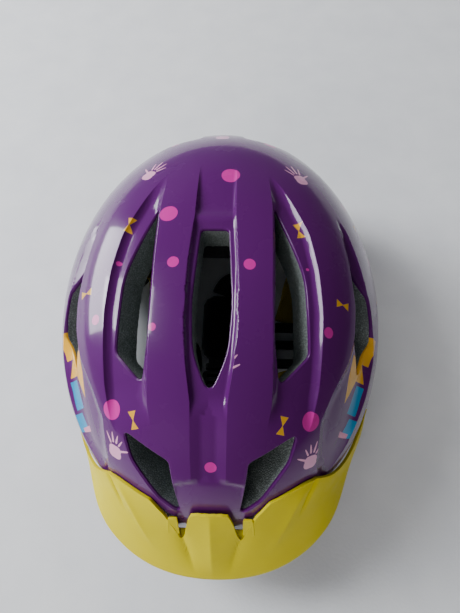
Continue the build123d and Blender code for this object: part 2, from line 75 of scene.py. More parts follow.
# Vent outlines in plan, as (x, y, corner radius), on the wearer's left.
CENTRE_VENT = [(7.3, 12, 2.2), (10, -30, 120), (8.6, -54, 50), (0, -74.5, 4),
               (-8.6, -54, 50), (-10, -30, 120), (-7.3, 12, 2.2)]
SIDE_VENT = [(31.3, 29.5, 1.4), (40, 9, 60), (47.8, -12, 60), (49.4, -52, 6), (34, -68, 3), (30.9, -46, 60)]
FRONT_VENT = [(42, -86.5, 2.5), (19, -100.5, 4), (15.3, -122, 1.4), (25, -116, 12), (38.5, -99, 20)]
SLOT_VENT = [(75.5, 4, 1), (85, -12, 14), (87.5, -33, 10), (81, -54, 1.5), (77.5, -34, 40)]
REAR_VENT = [(15, 106, 4), (33, 98.5, 4), (39, 108, 4), (21, 119, 4)]

# Graphics: dots as (x, y, z, radius), bow-ties as (x, y, z, turn in degrees) and hand prints as
# (x, y, z, the fingers' direction in plan in degrees, mirrored).
DOTS = [(7, 49, 146, 5.2), (-25, 21, 148, 5.0), (-20, -9, 149, 3.0), (18, -10, 149, 3.0),
        (-49.5, -5, 141, 2.6), (48.5, -7, 141, 2.5), (-59, -34, 132, 3.0), (-28, -42, 144, 2.0),
        (56.5, -39, 132, 3.3), (-48, -77, 122, 4.9), (48, -80, 120, 4.9), (1, -103, 120, 3.0),
        (76, 52, 112, 3.4), (-76, 52, 112, 3.4), (30, 92, 122, 4.4), (-58, 86, 106, 4.0),
        (58, 86, 106, 4.0), (0, 118, 94, 4.4), (88, 20, 100, 4.2), (-88, 20, 100, 4.2),
        (-30, 92, 122, 3.0), (70, 92, 70, 4.5), (-70, 92, 70, 4.5), (95, 30, 60, 4.4),
        (-95, 30, 60, 4.4), (28, 124, 62, 3.4), (-28, 124, 62, 3.4)]
BOWS = [(-47, 18, 141, 75), (-68, -18, 129, 5), (45, 16, 142, 105), (66, -23, 129, -5),
        (-36.5, -83, 128, 95), (34.5, -84, 129, 85), (82, 40, 92, 40), (-82, 40, 92, -40),
        (14, 112, 106, 20), (-46, 106, 84, -30), (46, 106, 84, 30), (-96, -2, 72, 70),
        (96, -2, 72, 110)]
HANDS = [(-41, 56, 137, 52, False), (47, 55, 134, 118, True), (-47.5, -95, 109, 62, True),
         (49.5, -97, 104, 112, False), (4, -64, 141, 60, False), (0, 95, 124, 90, False),
         (90, 58, 70, 90, False), (-90, 58, 70, 90, True)]

# Visor edges from the middle to the tip of the left arm. The upper one lies on the shell, so it
# needs only (x, z). VISOR_CUT is the height of the visible upper edge against x.
VISOR_GAP = 0.9
VISOR_THICKNESS = 1.8
VISOR_UPPER = [(0, 99), (30, 99), (52, 95), (61, 84), (76, 66), (92.8, 51)]
VISOR_LOWER = [(0, -154.5, 50), (36, -148, 50), (67, -123, 48.5), (80.5, -91, 46.5),
               (89.2, -72, 45.2), (94, -56.5, 44)]
VISOR_CUT = [(0, 99.2), (6, 98.8), (9.3, 97.8), (11.2, 93), (14.2, 79.5), (15.4, 77.2),
             (16.6, 78), (19, 85), (23, 93), (29, 98.6), (33, 102), (120, 102)]


# ---------------------------------------------------------------- forms and outlines

class Form:
    """A crown form and its unrolled plane, whose middle is the top of the crown."""

    def __init__(self, half_width, half_length, rise):
        self.hw, self.hl, self.rise = half_width, half_length, rise

    def plane(self, x, y):
        """Plan coordinates on the crown to the unrolled plane."""
        rho = min(hypot(x / self.hw, y / self.hl), 1.0)
        if rho < 1e-6:
            return (x, y)
        return (x * asin(rho) / rho, y * asin(rho) / rho)

    def plane_of(self, points):
        """The same for an array of 3-D points on the crown or on the wall below it."""
        p = np.asarray(points, float)
        rho = np.hypot(p[:, 0] / self.hw, p[:, 1] / self.hl)
        on_crown = np.arcsin(np.clip(rho, 0, 1))
        on_wall = pi / 2 + (WIDEST_Z - p[:, 2]) / WALL_RATE
        t = np.where(p[:, 2] >= WIDEST_Z, on_crown, on_wall)
        k = t / np.maximum(rho, 1e-9)
        return np.stack([p[:, 0] * k, p[:, 1] * k], 1)

    def at(self, uv, inset=0.0):
        """Points of the form at unrolled positions, moved in along the normal, and the normals."""
        uv = np.asarray(uv, float)
        t = np.hypot(uv[:, 0] / self.hw, uv[:, 1] / self.hl)
        c = uv / np.array([self.hw, self.hl]) / np.maximum(t, 1e-9)[:, None]
        rho = np.sin(np.minimum(t, pi / 2))
        h = np.maximum(1 - rho**EXPONENT, 0) ** (1 / EXPONENT)
        z = WIDEST_Z + self.rise * h - np.maximum(t - pi / 2, 0) * WALL_RATE
        p = np.stack([self.hw * rho * c[:, 0], self.hl * rho * c[:, 1], z], 1)
        side = rho ** (EXPONENT - 1)
        up = h ** (EXPONENT - 1) / self.rise
        n = unit(np.stack([side * c[:, 0] / self.hw, side * c[:, 1] / self.hl, up], 1))
        inset = np.broadcast_to(np.asarray(inset, float), (len(uv),))
        return p - n * inset[:, None], n

    def outside(self, p):
        """Positive outside the form, as a share of its size."""
        h = np.maximum(p[:, 2] - WIDEST_Z, 0) / self.rise
        rho = np.hypot(p[:, 0] / self.hw, p[:, 1] / self.hl)
        return rho**EXPONENT + h**EXPONENT - 1


OUTER = Form(HALF_WIDTH, HALF_LENGTH, CROWN_RISE)
INNER = Form(*CAVITY)


def crown_point(x, y):
    p, n = OUTER.at([OUTER.plane(x, y)])
    return p[0], n[0]


def travelled(points):
    """The distance along a line at each of its points."""
    return np.concatenate([[0], np.cumsum(np.linalg.norm(np.diff(points, axis=0), axis=1))])


def unit(vectors):
    """The same directions, one long."""
    return vectors / np.maximum(np.linalg.norm(vectors, axis=-1, keepdims=True), 1e-12)


def natural_spline(points, count):
    """A smooth curve through points by chord length, as an array of count points."""
    p = np.asarray(points, float)
    s = travelled(p)
    n = len(p)
    a = np.zeros((n, n))
    b = np.zeros_like(p)
    a[0, 0] = a[-1, -1] = 1
    h = np.diff(s)
    for i in range(1, n - 1):
        a[i, i - 1], a[i, i], a[i, i + 1] = h[i - 1], 2 * (h[i - 1] + h[i]), h[i]
        b[i] = 6 * ((p[i + 1] - p[i]) / h[i] - (p[i] - p[i - 1]) / h[i - 1])
    m = np.linalg.solve(a, b)
    at = np.linspace(0, s[-1], count)
    i = np.clip(np.searchsorted(s, at, side="right") - 1, 0, n - 2)
    w = h[i][:, None]
    left, right = (s[i + 1] - at)[:, None], (at - s[i])[:, None]
    bend = (m[i] * left**3 + m[i + 1] * right**3) / (6 * w)
    return bend + (p[i] / w - m[i] * w / 6) * left + (p[i + 1] / w - m[i + 1] * w / 6) * right


RIM_CURVE = natural_spline(RIM, 400)


def rim_z(y):
    """The height of the rim at y."""
    return np.interp(y, RIM_CURVE[:, 0], RIM_CURVE[:, 1])


def rounded(corners, step):
    """A closed outline with its corners rounded, as evenly spaced points."""
    c = np.array([q[:2] for q in corners], float)
    out = []
    for i, q in enumerate(corners):
        a, b, d = c[i - 1], c[i], c[(i + 1) % len(c)]
        e, f = unit(a - b), unit(d - b)
        half = 0.5 * np.arccos(np.clip(e @ f, -1, 1))
        reach = min(q[2] / np.tan(half), 0.48 * np.linalg.norm(a - b), 0.48 * np.linalg.norm(d - b))
        into, out_of = b + e * reach, b + f * reach
        out += [(1 - k) ** 2 * into + 2 * k * (1 - k) * b + k**2 * out_of for k in np.linspace(0, 1, 9)]
    p = np.array(out + out[:1])
    s = travelled(p)
    at = np.linspace(0, s[-1], max(int(s[-1] / step), 12), endpoint=False)
    return np.stack([np.interp(at, s, p[:, 0]), np.interp(at, s, p[:, 1])], 1)


def flipped(corners):
    """An outline's mirror image on the wearer's right."""
    return [(-q[0], *q[1:]) for q in corners[::-1]]


def edge_distance(points, line):
    """Distance from each point to a closed outline."""
    best = np.full(len(points), 1e9)
    for a, b in zip(line, np.roll(line, -1, 0)):
        d = b - a
        t = np.clip(((points - a) @ d) / max(d @ d, 1e-12), 0, 1)
        best = np.minimum(best, np.hypot(*(points - a - t[:, None] * d).T))
    return best


def inside(points, line):
    """Which points a closed outline holds."""
    hit = np.zeros(len(points), bool)
    for a, b in zip(line, np.roll(line, -1, 0)):
        crosses = (a[1] > points[:, 1]) != (b[1] > points[:, 1])
        if abs(b[1] - a[1]) > 1e-12:
            edge_x = (b[0] - a[0]) * (points[:, 1] - a[1]) / (b[1] - a[1]) + a[0]
            hit ^= crosses & (points[:, 0] < edge_x)
    return hit


def signed(points, line):
    """Distance to an outline, negative inside it."""
    return np.where(inside(points, line), -1, 1) * edge_distance(points, line)


def smooth(x, low, high):
    """0 below low and 1 above high, with an S curve between."""
    t = np.clip((x - low) / (high - low), 0, 1)
    return t * t * (3 - 2 * t)


def in_plane(corners):
    return [(*OUTER.plane(q[0], q[1]), *q[2:]) for q in corners]


def vent_list():
    """Every vent as (outline in the unrolled plane, inward direction)."""
    made = []
    both = [SIDE_VENT, FRONT_VENT, SLOT_VENT, REAR_VENT]
    for corners in [CENTRE_VENT] + both + [flipped(v) for v in both]:
        mid_x, mid_y = np.mean([q[0] for q in corners]), np.mean([q[1] for q in corners])
        made.append((rounded(in_plane(corners), 1.3), -crown_point(mid_x, mid_y)[1]))
    return made


VENTS = vent_list()


# ---------------------------------------------------------------- sculpted outer surface

SIDE_CHANNEL = [(27.5, 56, 3), (38.5, 37, 30), (49.5, 13, 30), (53.6, -9, 30), (55, -31, 30),
                (54, -50, 30), (52.5, -66, 20), (49, -82, 10), (43.5, -92, 5), (30, -91, 4),
                (23.5, -95.5, 5), (27, -86, 20), (29, -76, 30), (29.5, -64, 30), (29.3, -20, 30),
                (29.8, 26, 12)]
SIDE_GROOVE = [(65, 37, 2), (69.2, 17, 30), (72.3, -3, 30), (74, -20, 30), (73, -36, 30),
               (69, -50, 20), (60, -66, 20), (53.5, -80, 12), (52.5, -97, 16), (56, -106, 12),
               (72, -86, 20), (83, -62, 20), (88.5, -40, 20), (86.8, -24, 30), (80.6, 4, 30),
               (73, 26, 20)]
CENTRE_CHANNEL = [(10.4, 64, 3), (10.9, 20, 30), (12.9, -8, 30), (12.9, -40, 30), (11.6, -58, 20),
                  (8.8, -76, 20), (8.2, -112, 3)]
REAR_CHANNEL = [(9, 72, 3), (38, 78, 14), (47, 104, 12), (26, 128, 8), (11, 122, 8), (13, 96, 20)]

# Each hollow's depth and the width of its sloping wall.
SIDE_DEPTH, SIDE_WALL, SIDE_WALL_SPREAD = 3.4, 4.2, 3.5
GROOVE_DEPTH, GROOVE_WALL = 4.6, 11.0
CENTRE_DEPTH, CENTRE_WALL = 3.0, 2.3
REAR_DEPTH, REAR_WALL = 1.8, 5.5
NOSE_DEPTH = 1.1
VENT_LIP = 0.8


def outline(corners):
    """A plan outline as even points in the unrolled plane."""
    return rounded(in_plane(corners), 2.0)


CHANNELS = {
    "side": [outline(SIDE_CHANNEL), outline(flipped(SIDE_CHANNEL))],
    "groove": [outline(SIDE_GROOVE), outline(flipped(SIDE_GROOVE))],
    "centre": [outline(CENTRE_CHANNEL + flipped(CENTRE_CHANNEL))],
    "rear": [outline(REAR_CHANNEL), outline(flipped(REAR_CHANNEL))],
}


def dish(distance, depth, wall, crisp=0.7):
    """Depth of a channel against the distance inside its edge: a crisp brow, then a hollow foot."""
    t = np.clip(distance / wall, 0, 1)
    return depth * (1 - (1 - t) ** 2) * smooth(distance, 0, crisp)


def depth_field(uv):
    """How far the shell's surface lies inside the bare form."""
    plan = OUTER.at(uv)[0]
    x, y = np.abs(plan[:, 0]), plan[:, 1]
    depth = np.zeros(len(uv))
    for loop in CHANNELS["side"]:
        d = -signed(uv, loop)
        ends = smooth(-y, -54, -22) * (1 - smooth(-y, 66, 88))
        wall = SIDE_WALL + SIDE_WALL_SPREAD * (1 - smooth(x, 27, 38))
        depth = np.maximum(depth, dish(d, SIDE_DEPTH, wall) * ends * (d > 0))
    for loop in CHANNELS["groove"]:
        d = -signed(uv, loop)
        ends = smooth(-y, -36, -8) * (1 - 0.55 * smooth(-y, 55, 100))
        depth = np.maximum(depth, dish(d, GROOVE_DEPTH, GROOVE_WALL) * ends * (d > 0))
    for loop in CHANNELS["centre"]:
        d = -signed(uv, loop)
        ends = (1 - smooth(y, 24, 60)) * (1 - 0.45 * smooth(-y, 74, 84))
        bridge_behind_vent = 1 - 0.6 * np.exp(-((y - 18.5) / 4.0) ** 2)
        hollow = dish(d, CENTRE_DEPTH, CENTRE_WALL, 0.5)
        depth = np.maximum(depth, hollow * ends * bridge_behind_vent * (d > 0))
    valley = smooth(-y, 72, 84) * (x < 11)
    depth = depth * (1 - valley) + valley * np.minimum(depth, 2.5 * (1 - x / 8.6))
    for loop in CHANNELS["rear"]:
        d = -signed(uv, loop)
        ends = smooth(y, 92, 112) * (1 - smooth(y, 122, 131))
        depth = np.maximum(depth, dish(d, REAR_DEPTH, REAR_WALL) * ends * (d > 0))
    nose = smooth(-y - 0.12 * x, 107.0, 109.5) * (1 - smooth(x, 15.5, 18.5))
    depth = depth * (1 - nose) + nose * NOSE_DEPTH
    for loop, _ in VENTS:
        d = np.maximum(VENT_LIP - np.clip(signed(uv, loop), 0, 9), 0)
        depth = depth + VENT_LIP - np.sqrt(np.maximum(VENT_LIP**2 - d**2, 0))
    low = WIDEST_Z - plan[:, 2]
    brow = smooth(low, 0, 14) * 0.5 * smooth(rim_z(plan[:, 1]) + 26 - plan[:, 2], 0, 5)
    return depth + brow


def surface(uv, extra=0.0):
    """The shell's surface: points and true normals, from small steps in the unrolled plane."""
    step = 0.05
    p = OUTER.at(uv, depth_field(uv) + extra)[0]
    du = OUTER.at(uv + [step, 0], depth_field(uv + [step, 0]) + extra)[0] - p
    dv = OUTER.at(uv + [0, step], depth_field(uv + [0, step]) + extra)[0] - p
    n = unit(np.cross(du, dv))
    flat = np.hypot(uv[:, 0], uv[:, 1]) < 0.2
    n[flat] = [0, 0, 1]
    return p, n


def rim_loop(form, lift, count=420, floor=None):
    """The rim line, raised by lift, in a form's unrolled plane."""
    turn = np.arange(count) * 2 * pi / count
    z = rim_z(form.hl * np.sin(turn)) + lift
    if floor is not None:
        z = np.maximum(z, floor)
    t = pi / 2 + (WIDEST_Z - z) / WALL_RATE
    return np.stack([form.hw * t * np.cos(turn), form.hl * t * np.sin(turn)], 1)


def offset_rows(loop, distances):
    """Rows of points beside a closed anticlockwise or clockwise outline, outside it."""
    ahead = np.roll(loop, -1, 0) - np.roll(loop, 1, 0)
    side = unit(np.stack([ahead[:, 1], -ahead[:, 0]], 1))
    if inside(loop + 0.05 * side, loop).mean() > 0.5:
        side = -side
    return [loop + side * d for d in distances]


def thinned(points, taken, gap):
    """Those points that lie further than gap from every taken one and from each other."""
    cell = {}
    for q in taken:
        cell.setdefault((int(q[0] // gap), int(q[1] // gap)), []).append(q)
    kept = []
    for q in points:
        i, j = int(q[0] // gap), int(q[1] // gap)
        near = (r for a in (i - 1, i, i + 1) for b in (j - 1, j, j + 1) for r in cell.get((a, b), ()))
        if all((q[0] - r[0]) ** 2 + (q[1] - r[1]) ** 2 >= gap * gap for r in near):
            kept.append(q)
            cell.setdefault((i, j), []).append(q)
    return kept


# Rows of extra mesh points beside an edge, as (distance outside it, spacing), and the x of the
# rows along the keel in front of the centre vent.
ROWS_OUTSIDE = [(0.25, 0.2), (0.5, 0.22), (0.85, 0.3), (1.4, 0.45), (2.2, 0.6), (3.2, 0.9)]
ROWS_INSIDE = [(0.0, 0.2), (-0.3, 0.22), (-0.65, 0.3), (-1.1, 0.35), (-1.6, 0.4), (-2.2, 0.5),
               (-3.0, 0.7), (-4.2, 0.9)]
KEEL_LINES = (0, 0.5, -0.5, 1.2, -1.2, 2.2, -2.2)


def triangulate(border, holes, rows, spacing):
    """Triangles of an unrolled surface: its points, faces, and each loop as point numbers."""
    loops = [border] + holes
    fixed = np.concatenate(loops)
    near = []
    for lines, spread in ((holes + rows, ROWS_OUTSIDE), (rows, ROWS_INSIDE)):
        for loop in lines:
            for row, (_, gap) in zip(offset_rows(loop, [offset for offset, _ in spread]), spread):
                near += thinned(row, near + list(fixed), gap)
    keel = [OUTER.plane(x, y) for x in KEEL_LINES for y in np.arange(-112, -70, 1.1)]
    near += thinned(keel, near + list(fixed), 0.4) if rows else []
    low, high = border.min(0), border.max(0)
    grid = []
    for j, v in enumerate(np.arange(low[1], high[1], spacing * 0.87)):
        grid += [(u + 0.5 * spacing * (j % 2), v) for u in np.arange(low[0], high[0], spacing)]
    free = np.array(near + thinned(grid, near + list(fixed), spacing * 0.72))
    keep = inside(free, border) & (edge_distance(free, border) > 0.25)
    for hole in holes:
        keep &= ~inside(free, hole) & (edge_distance(free, hole) > 0.2)
    free = free[keep]
    points = np.concatenate([fixed, free])
    edges, loop_numbers, start = [], [], 0
    for loop in loops:
        number = np.arange(start, start + len(loop))
        edges += [(int(a), int(b)) for a, b in zip(number, np.roll(number, -1))]
        loop_numbers.append(number)
        start += len(loop)
    out = delaunay_2d_cdt([Vector(map(float, q)) for q in points], edges, [], 0, 1e-5)
    verts = np.array([tuple(v) for v in out[0]])
    order = {}
    for new, olds in enumerate(out[3]):
        for old in olds:
            order[old] = new
    faces = np.array([f for f in out[2] if len(f) == 3])
    middle = verts[faces].mean(1)
    keep = inside(middle, border)
    for hole in holes:
        keep &= ~inside(middle, hole)
    faces = faces[keep]
    first, second, third = (verts[faces[:, k]] for k in range(3))
    ab, ac = second - first, third - first
    turned = ab[:, 0] * ac[:, 1] - ab[:, 1] * ac[:, 0] < 0
    faces[turned] = faces[turned][:, ::-1]
    return verts, faces, [np.array([order[int(k)] for k in number]) for number in loop_numbers]


# ---------------------------------------------------------------- mesh helpers

def new_object(name, data):
    """An object in the scene."""
    made = bpy.data.objects.new(name, data)
    bpy.context.scene.collection.objects.link(made)
    return made


def add_mesh(name, points, faces, sharp=None):
    """A smooth mesh object from points in millimetres, with edges above an angle kept sharp."""
    mesh = bpy.data.meshes.new(name)
    places = [tuple(map(float, p)) for p in np.asarray(points) * MM]
    mesh.from_pydata(places, [], [tuple(map(int, f)) for f in faces])
    mesh.validate()
    mesh.shade_smooth()
    if sharp is not None:
        mesh.set_sharp_from_angle(angle=radians(sharp))
    return new_object(name, mesh)


def strip(lower, upper):
    """Faces between two closed rings of point numbers."""
    a, b = np.asarray(lower), np.asarray(upper)
    return [(a[i], a[(i + 1) % len(a)], b[(i + 1) % len(b)], b[i]) for i in range(len(a))]


def fix_normals(piece):
    """Turns every face of a closed mesh outward."""
    work = bmesh.new()
    work.from_mesh(piece.data)
    bmesh.ops.recalc_face_normals(work, faces=work.faces)
    work.to_mesh(piece.data)
    work.free()


def finish_piece(piece, body, slot, material, *replaced):
    """Gives a piece its material, its body and the CAD nodes that it replaces. Its slot is not used."""
    piece.data.materials.clear()
    piece.data.materials.append(material)
    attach(piece, body)
    if replaced:
        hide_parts(*replaced)
    return piece


def bevel(piece, width, angle=35):
    """Soft edges of a width in millimetres, wherever the faces turn by more than an angle."""
    mod = piece.modifiers.new("soft edges", "BEVEL")
    mod.width = width * MM
    mod.segments = 2
    mod.limit_method = "ANGLE"
    mod.angle_limit = radians(angle)
    mod.harden_normals = False
    return piece


# ---------------------------------------------------------------- materials

class Nodes:
    """A material with a principled shader and short ways to wire it."""

    def __init__(self, name, color, rough, **sockets):
        self.material = bpy.data.materials.new(name)
        self.material.use_nodes = True
        self.tree = self.material.node_tree
        self.shader = self.tree.nodes["Principled BSDF"]
        self.put(self.shader.inputs["Base Color"], color)
        self.put(self.shader.inputs["Roughness"], rough)
        for key, value in sockets.items():
            self.put(self.shader.inputs[key.replace("_", " ")], value)
        self._where = None

    def put(self, socket, value):
        """Sets a socket to a value or links it to an output."""
        if isinstance(value, bpy.types.NodeSocket):
            self.tree.links.new(value, socket)
        elif hasattr(value, "__len__") and len(value) == 3 and len(socket.default_value) == 4:
            socket.default_value = (*value, 1)
        else:
            socket.default_value = value

    def node(self, kind, out=0, **settings):
        """Adds a node with its settings and inputs, and gives one output."""
        made = self.tree.nodes.new(kind)
        inputs = settings.pop("inputs", {})
        for key, value in settings.items():
            setattr(made, key, value)
        for key, value in inputs.items():
            self.put(made.inputs[key], value)
        return made.outputs[out]

    @property
    def where(self):
        """Object coordinates, which are row-frame metres."""
        if self._where is None:
            self._where = self.node("ShaderNodeTexCoord", "Object")
        return self._where

    def grey(self, value):
        """The brightness of a colour."""
        return self.vector("DOT_PRODUCT", value, (0.33, 0.33, 0.33), out="Value")

    def cells(self, scale, out="Distance", where=None, randomness=1.0, **settings):
        """A cell pattern of a scale."""
        inputs = {"Scale": scale, "Vector": where or self.where, "Randomness": randomness}
        return self.node("ShaderNodeTexVoronoi", out, inputs=inputs, **settings)

    def paint(self, share, a, b):
        """The base colour, from a to b by a share."""
        self.put(self.shader.inputs["Base Color"], self.mix(share, a, b))

    def polish(self, value, smoothest, roughest, low=0.3, high=0.7):
        """The roughness, by a value's place between low and high."""
        self.put(self.shader.inputs["Roughness"], self.ramp(value, low, high, smoothest, roughest))

    def math(self, operation, a, b=0.0, c=0.0, clamp=False):
        return self.node("ShaderNodeMath", operation=operation, use_clamp=clamp, inputs={0: a, 1: b, 2: c})

    def vector(self, operation, a, b=(0, 0, 0), out=0, scale=None):
        inputs = {0: a, 1: b}
        if scale is not None:
            inputs["Scale"] = scale
        return self.node("ShaderNodeVectorMath", out=out, operation=operation, inputs=inputs)

    def mix(self, share, a, b):
        made = self.tree.nodes.new("ShaderNodeMix")
        made.data_type = "RGBA"
        self.put(made.inputs["Factor"], share)
        self.put(made.inputs["A"], a)
        self.put(made.inputs["B"], b)
        return made.outputs["Result"]

    def noise(self, scale, detail=3.0, where=None, rough=0.5):
        inputs = {"Scale": scale, "Detail": detail, "Roughness": rough, "Vector": where or self.where}
        return self.node("ShaderNodeTexNoise", inputs=inputs)

    def ramp(self, value, low, high, a=0.0, b=1.0):
        inputs = {"Value": value, "From Min": low, "From Max": high, "To Min": a, "To Max": b}
        return self.node("ShaderNodeMapRange", inputs=inputs)

    def bump(self, height, distance, strength=1.0):
        inputs = {"Height": height, "Distance": distance, "Strength": strength}
        self.put(self.shader.inputs["Normal"], self.node("ShaderNodeBump", inputs=inputs))


def dot_mask(m, centre, radius):
    """Inside a ball, which prints a round dot on the surface that it cuts."""
    away = m.vector("DISTANCE", m.where, [c * MM for c in centre], out="Value")
    return m.math("LESS_THAN", away, radius * MM)


def capsule_mask(m, a, b, radius):
    """Inside a capsule from a to b."""
    a, b = np.array(a) * MM, np.array(b) * MM
    d = b - a
    rel = m.vector("SUBTRACT", m.where, list(a))
    along = m.vector("DOT_PRODUCT", rel, list(d), out="Value")
    along = m.math("MULTIPLY", along, 1 / float(d @ d), clamp=True)
    foot = m.vector("SCALE", list(d), scale=along)
    return m.math("LESS_THAN", m.vector("DISTANCE", rel, foot, out="Value"), radius * MM)


def any_of(m, masks):
    """1 wherever one of the masks is."""
    total = masks[0]
    for mask in masks[1:]:
        total = m.math("MAXIMUM", total, mask)
    return total


def tangents(x, y, z, turn):
    """A point's directions on the shell: along turn, seen from above, and across it."""
    uv = OUTER.plane_of([(x, y, z)])
    p, n = OUTER.at(uv)
    n = n[0]
    flat = np.array([cos(radians(turn)), sin(radians(turn)), 0.0])
    if n[2] < 0.45:
        side = unit(np.cross([0, 0, 1], n))
        flat = side * cos(radians(turn)) + np.array([0, 0, 1.0]) * sin(radians(turn))
    along = unit(flat - n * (flat @ n))
    return p[0], along, np.cross(n, along)


def polygon_mask(m, origin, along, across, corners, reach):
    """Inside a convex anticlockwise polygon in a tangent plane."""
    rel = m.vector("SUBTRACT", m.where, [c * MM for c in origin])
    u = m.vector("DOT_PRODUCT", rel, list(along), out="Value")
    v = m.vector("DOT_PRODUCT", rel, list(across), out="Value")
    mask = m.math("LESS_THAN", m.vector("LENGTH", rel, out="Value"), reach * MM)
    for (ax, ay), (bx, by) in zip(corners, corners[1:] + corners[:1]):
        nx, ny = by - ay, ax - bx
        bound = (nx * ax + ny * ay) * MM
        side = m.math("MULTIPLY_ADD", u, nx, m.math("MULTIPLY", v, ny))
        mask = m.math("MULTIPLY", mask, m.math("LESS_THAN", side, bound))
    return mask


def bow_mask(m, x, y, z, turn):
    """A bow-tie: two triangles tip to tip."""
    p, along, across = tangents(x, y, z, turn)
    left = polygon_mask(m, p, along, across, [(-4.3, -2.2), (0.3, 0), (-4.3, 2.2)], 9)
    right = polygon_mask(m, p, along, across, [(4.3, 2.2), (-0.3, 0), (4.3, -2.2)], 9)
    return m.math("MAXIMUM", left, right)


# Each finger as (fan angle, start, end, radius) from the middle of the palm, the thumb last.
FINGERS = [(-34, 5.2, 11.0, 0.55), (-13, 5.6, 12.6, 0.6), (8, 5.6, 12.6, 0.6), (29, 5.2, 11.2, 0.55),
           (66, 4.4, 10.0, 0.6)]


def hand_mask(m, x, y, z, turn, mirror):
    """A generic hand print: a palm, four fingers and a thumb."""
    p, along, across = tangents(x, y, z, turn)
    if mirror:
        across = -across

    def spot(u, v):
        return p + along * u + across * v

    parts = [capsule_mask(m, spot(-1.4, -1.2), spot(-1.4, 1.2), 2.9),
             capsule_mask(m, spot(1.0, -1.5), spot(1.0, 1.5), 2.5)]
    for fan, near, far, thick in FINGERS:
        c, s = cos(radians(fan)), sin(radians(fan))
        parts.append(capsule_mask(m, spot(near * c, near * s), spot(far * c, far * s), thick))
    return any_of(m, parts)


def side_patch_masks(m, side):
    """Bold zigzag and blocks low on the side: yellow, blue and pink."""
    p, along, across = tangents(side * 82, -48, 107, 90)

    def shape(*corners):
        return polygon_mask(m, p, along, across * side, list(corners), 40)

    yellow = any_of(m, [
        shape((-8, 9), (-8, -8), (2, -3), (4, 9)),
        shape((2, 2), (2, -8), (18, -10), (18, -2)),
        shape((-22, 6), (-8, -1), (-8, 9))])
    blue = any_of(m, [
        shape((-10, -9), (-10, -3), (-26, -1), (-26, -9)),
        shape((-40, -12), (-28, -12), (-28, -5), (-38, -3))])
    pink = shape((-44, -2), (-44, -9), (-36, -9), (-36, 0))
    return yellow, blue, pink


DARK_PURPLE, PURPLE = (0.082, 0.006, 0.108), (0.1, 0.008, 0.128)
MAGENTA, PINK, OCHRE = (0.56, 0.02, 0.29), (0.74, 0.32, 0.52), (0.72, 0.36, 0.02)
AMBER, BLUE, SALMON = (0.8, 0.4, 0.02), (0.01, 0.26, 0.5), (0.7, 0.26, 0.4)


def shell_material():
    """Clear-coated film: purple, printed with dots, bow-ties and hand prints."""
    m = Nodes("printed shell", PURPLE, 0.3, Coat_Weight=0.6, Coat_Roughness=0.06, Coat_IOR=1.4,
              Specular_IOR_Level=0.12)
    cloud = m.noise(9.0, 2.0)
    base = m.mix(m.ramp(cloud, 0.3, 0.7), DARK_PURPLE, PURPLE)
    dots = any_of(m, [dot_mask(m, dot[:3], dot[3]) for dot in DOTS])
    hands = any_of(m, [hand_mask(m, *h) for h in HANDS])
    bows = any_of(m, [bow_mask(m, *b) for b in BOWS])
    color = m.mix(dots, base, MAGENTA)
    color = m.mix(hands, color, PINK)
    color = m.mix(bows, color, OCHRE)
    for side in (1, -1):
        yellow, blue, pink = side_patch_masks(m, side)
        color = m.mix(yellow, color, AMBER)
        color = m.mix(blue, color, BLUE)
        color = m.mix(pink, color, SALMON)
    m.put(m.shader.inputs["Base Color"], color)
    scratch = m.noise(420.0, 4.0, rough=0.6)
    m.polish(m.noise(38.0, 5.0), 0.2, 0.32, 0.35)
    m.bump(m.math("ADD", m.math("MULTIPLY", m.noise(26.0, 2.0), 6.0), scratch), 0.00002, 0.6)
    return m.material


def foam_material():
    """Moulded bead foam: packed cells with darker seams."""
    dark, light = (0.1, 0.115, 0.11), (0.3, 0.335, 0.32)
    m = Nodes("bead foam", dark, 0.85, Specular_IOR_Level=0.25)
    wander = m.node("ShaderNodeTexNoise", "Color", inputs={"Scale": 300.0, "Vector": m.where})
    warp = m.vector("ADD", m.where, m.vector("SCALE", wander, scale=0.0012))
    seam = m.cells(820.0, where=warp, feature="DISTANCE_TO_EDGE")
    shade = m.ramp(m.grey(m.cells(820.0, "Color", where=warp)), 0.1, 0.9, 0.45, 1.0)
    tone = m.math("MULTIPLY", m.ramp(seam, 0.0, 0.22), shade)
    m.paint(m.math("MULTIPLY", tone, m.ramp(m.noise(60.0, 3.0), 0.3, 0.7, 0.7, 1.15)), dark, light)
    m.bump(m.ramp(seam, 0.0, 0.3), 0.0003, 0.8)
    return m.material


def visor_material():
    """Semi-matte yellow moulding with a fine grain and slightly paler clouds."""
    dark, light = (0.62, 0.51, 0.001), (0.74, 0.61, 0.002)
    m = Nodes("visor plastic", light, 0.5, Specular_IOR_Level=0.06)
    m.paint(m.ramp(m.noise(14.0, 4.0), 0.3, 0.72), dark, light)
    m.polish(m.noise(90.0, 4.0), 0.36, 0.5)
    m.bump(m.noise(1500.0, 2.0), 0.00008, 0.35)
    return m.material


def plastic_material(name, color, rough=0.5, grain=1400.0, depth=0.00008):
    """Moulded plastic with a spark-eroded grain and a little dust in its colour."""
    m = Nodes(name, color, rough, Specular_IOR_Level=0.4)
    lighter = tuple(min(1, c * 1.6 + 0.008) for c in color)
    m.paint(m.ramp(m.noise(45.0, 5.0), 0.42, 0.78), color, lighter)
    m.polish(m.noise(120.0, 3.0), rough - 0.07, rough + 0.1)
    m.bump(m.noise(grain, 2.0), depth, 0.6)
    return m.material


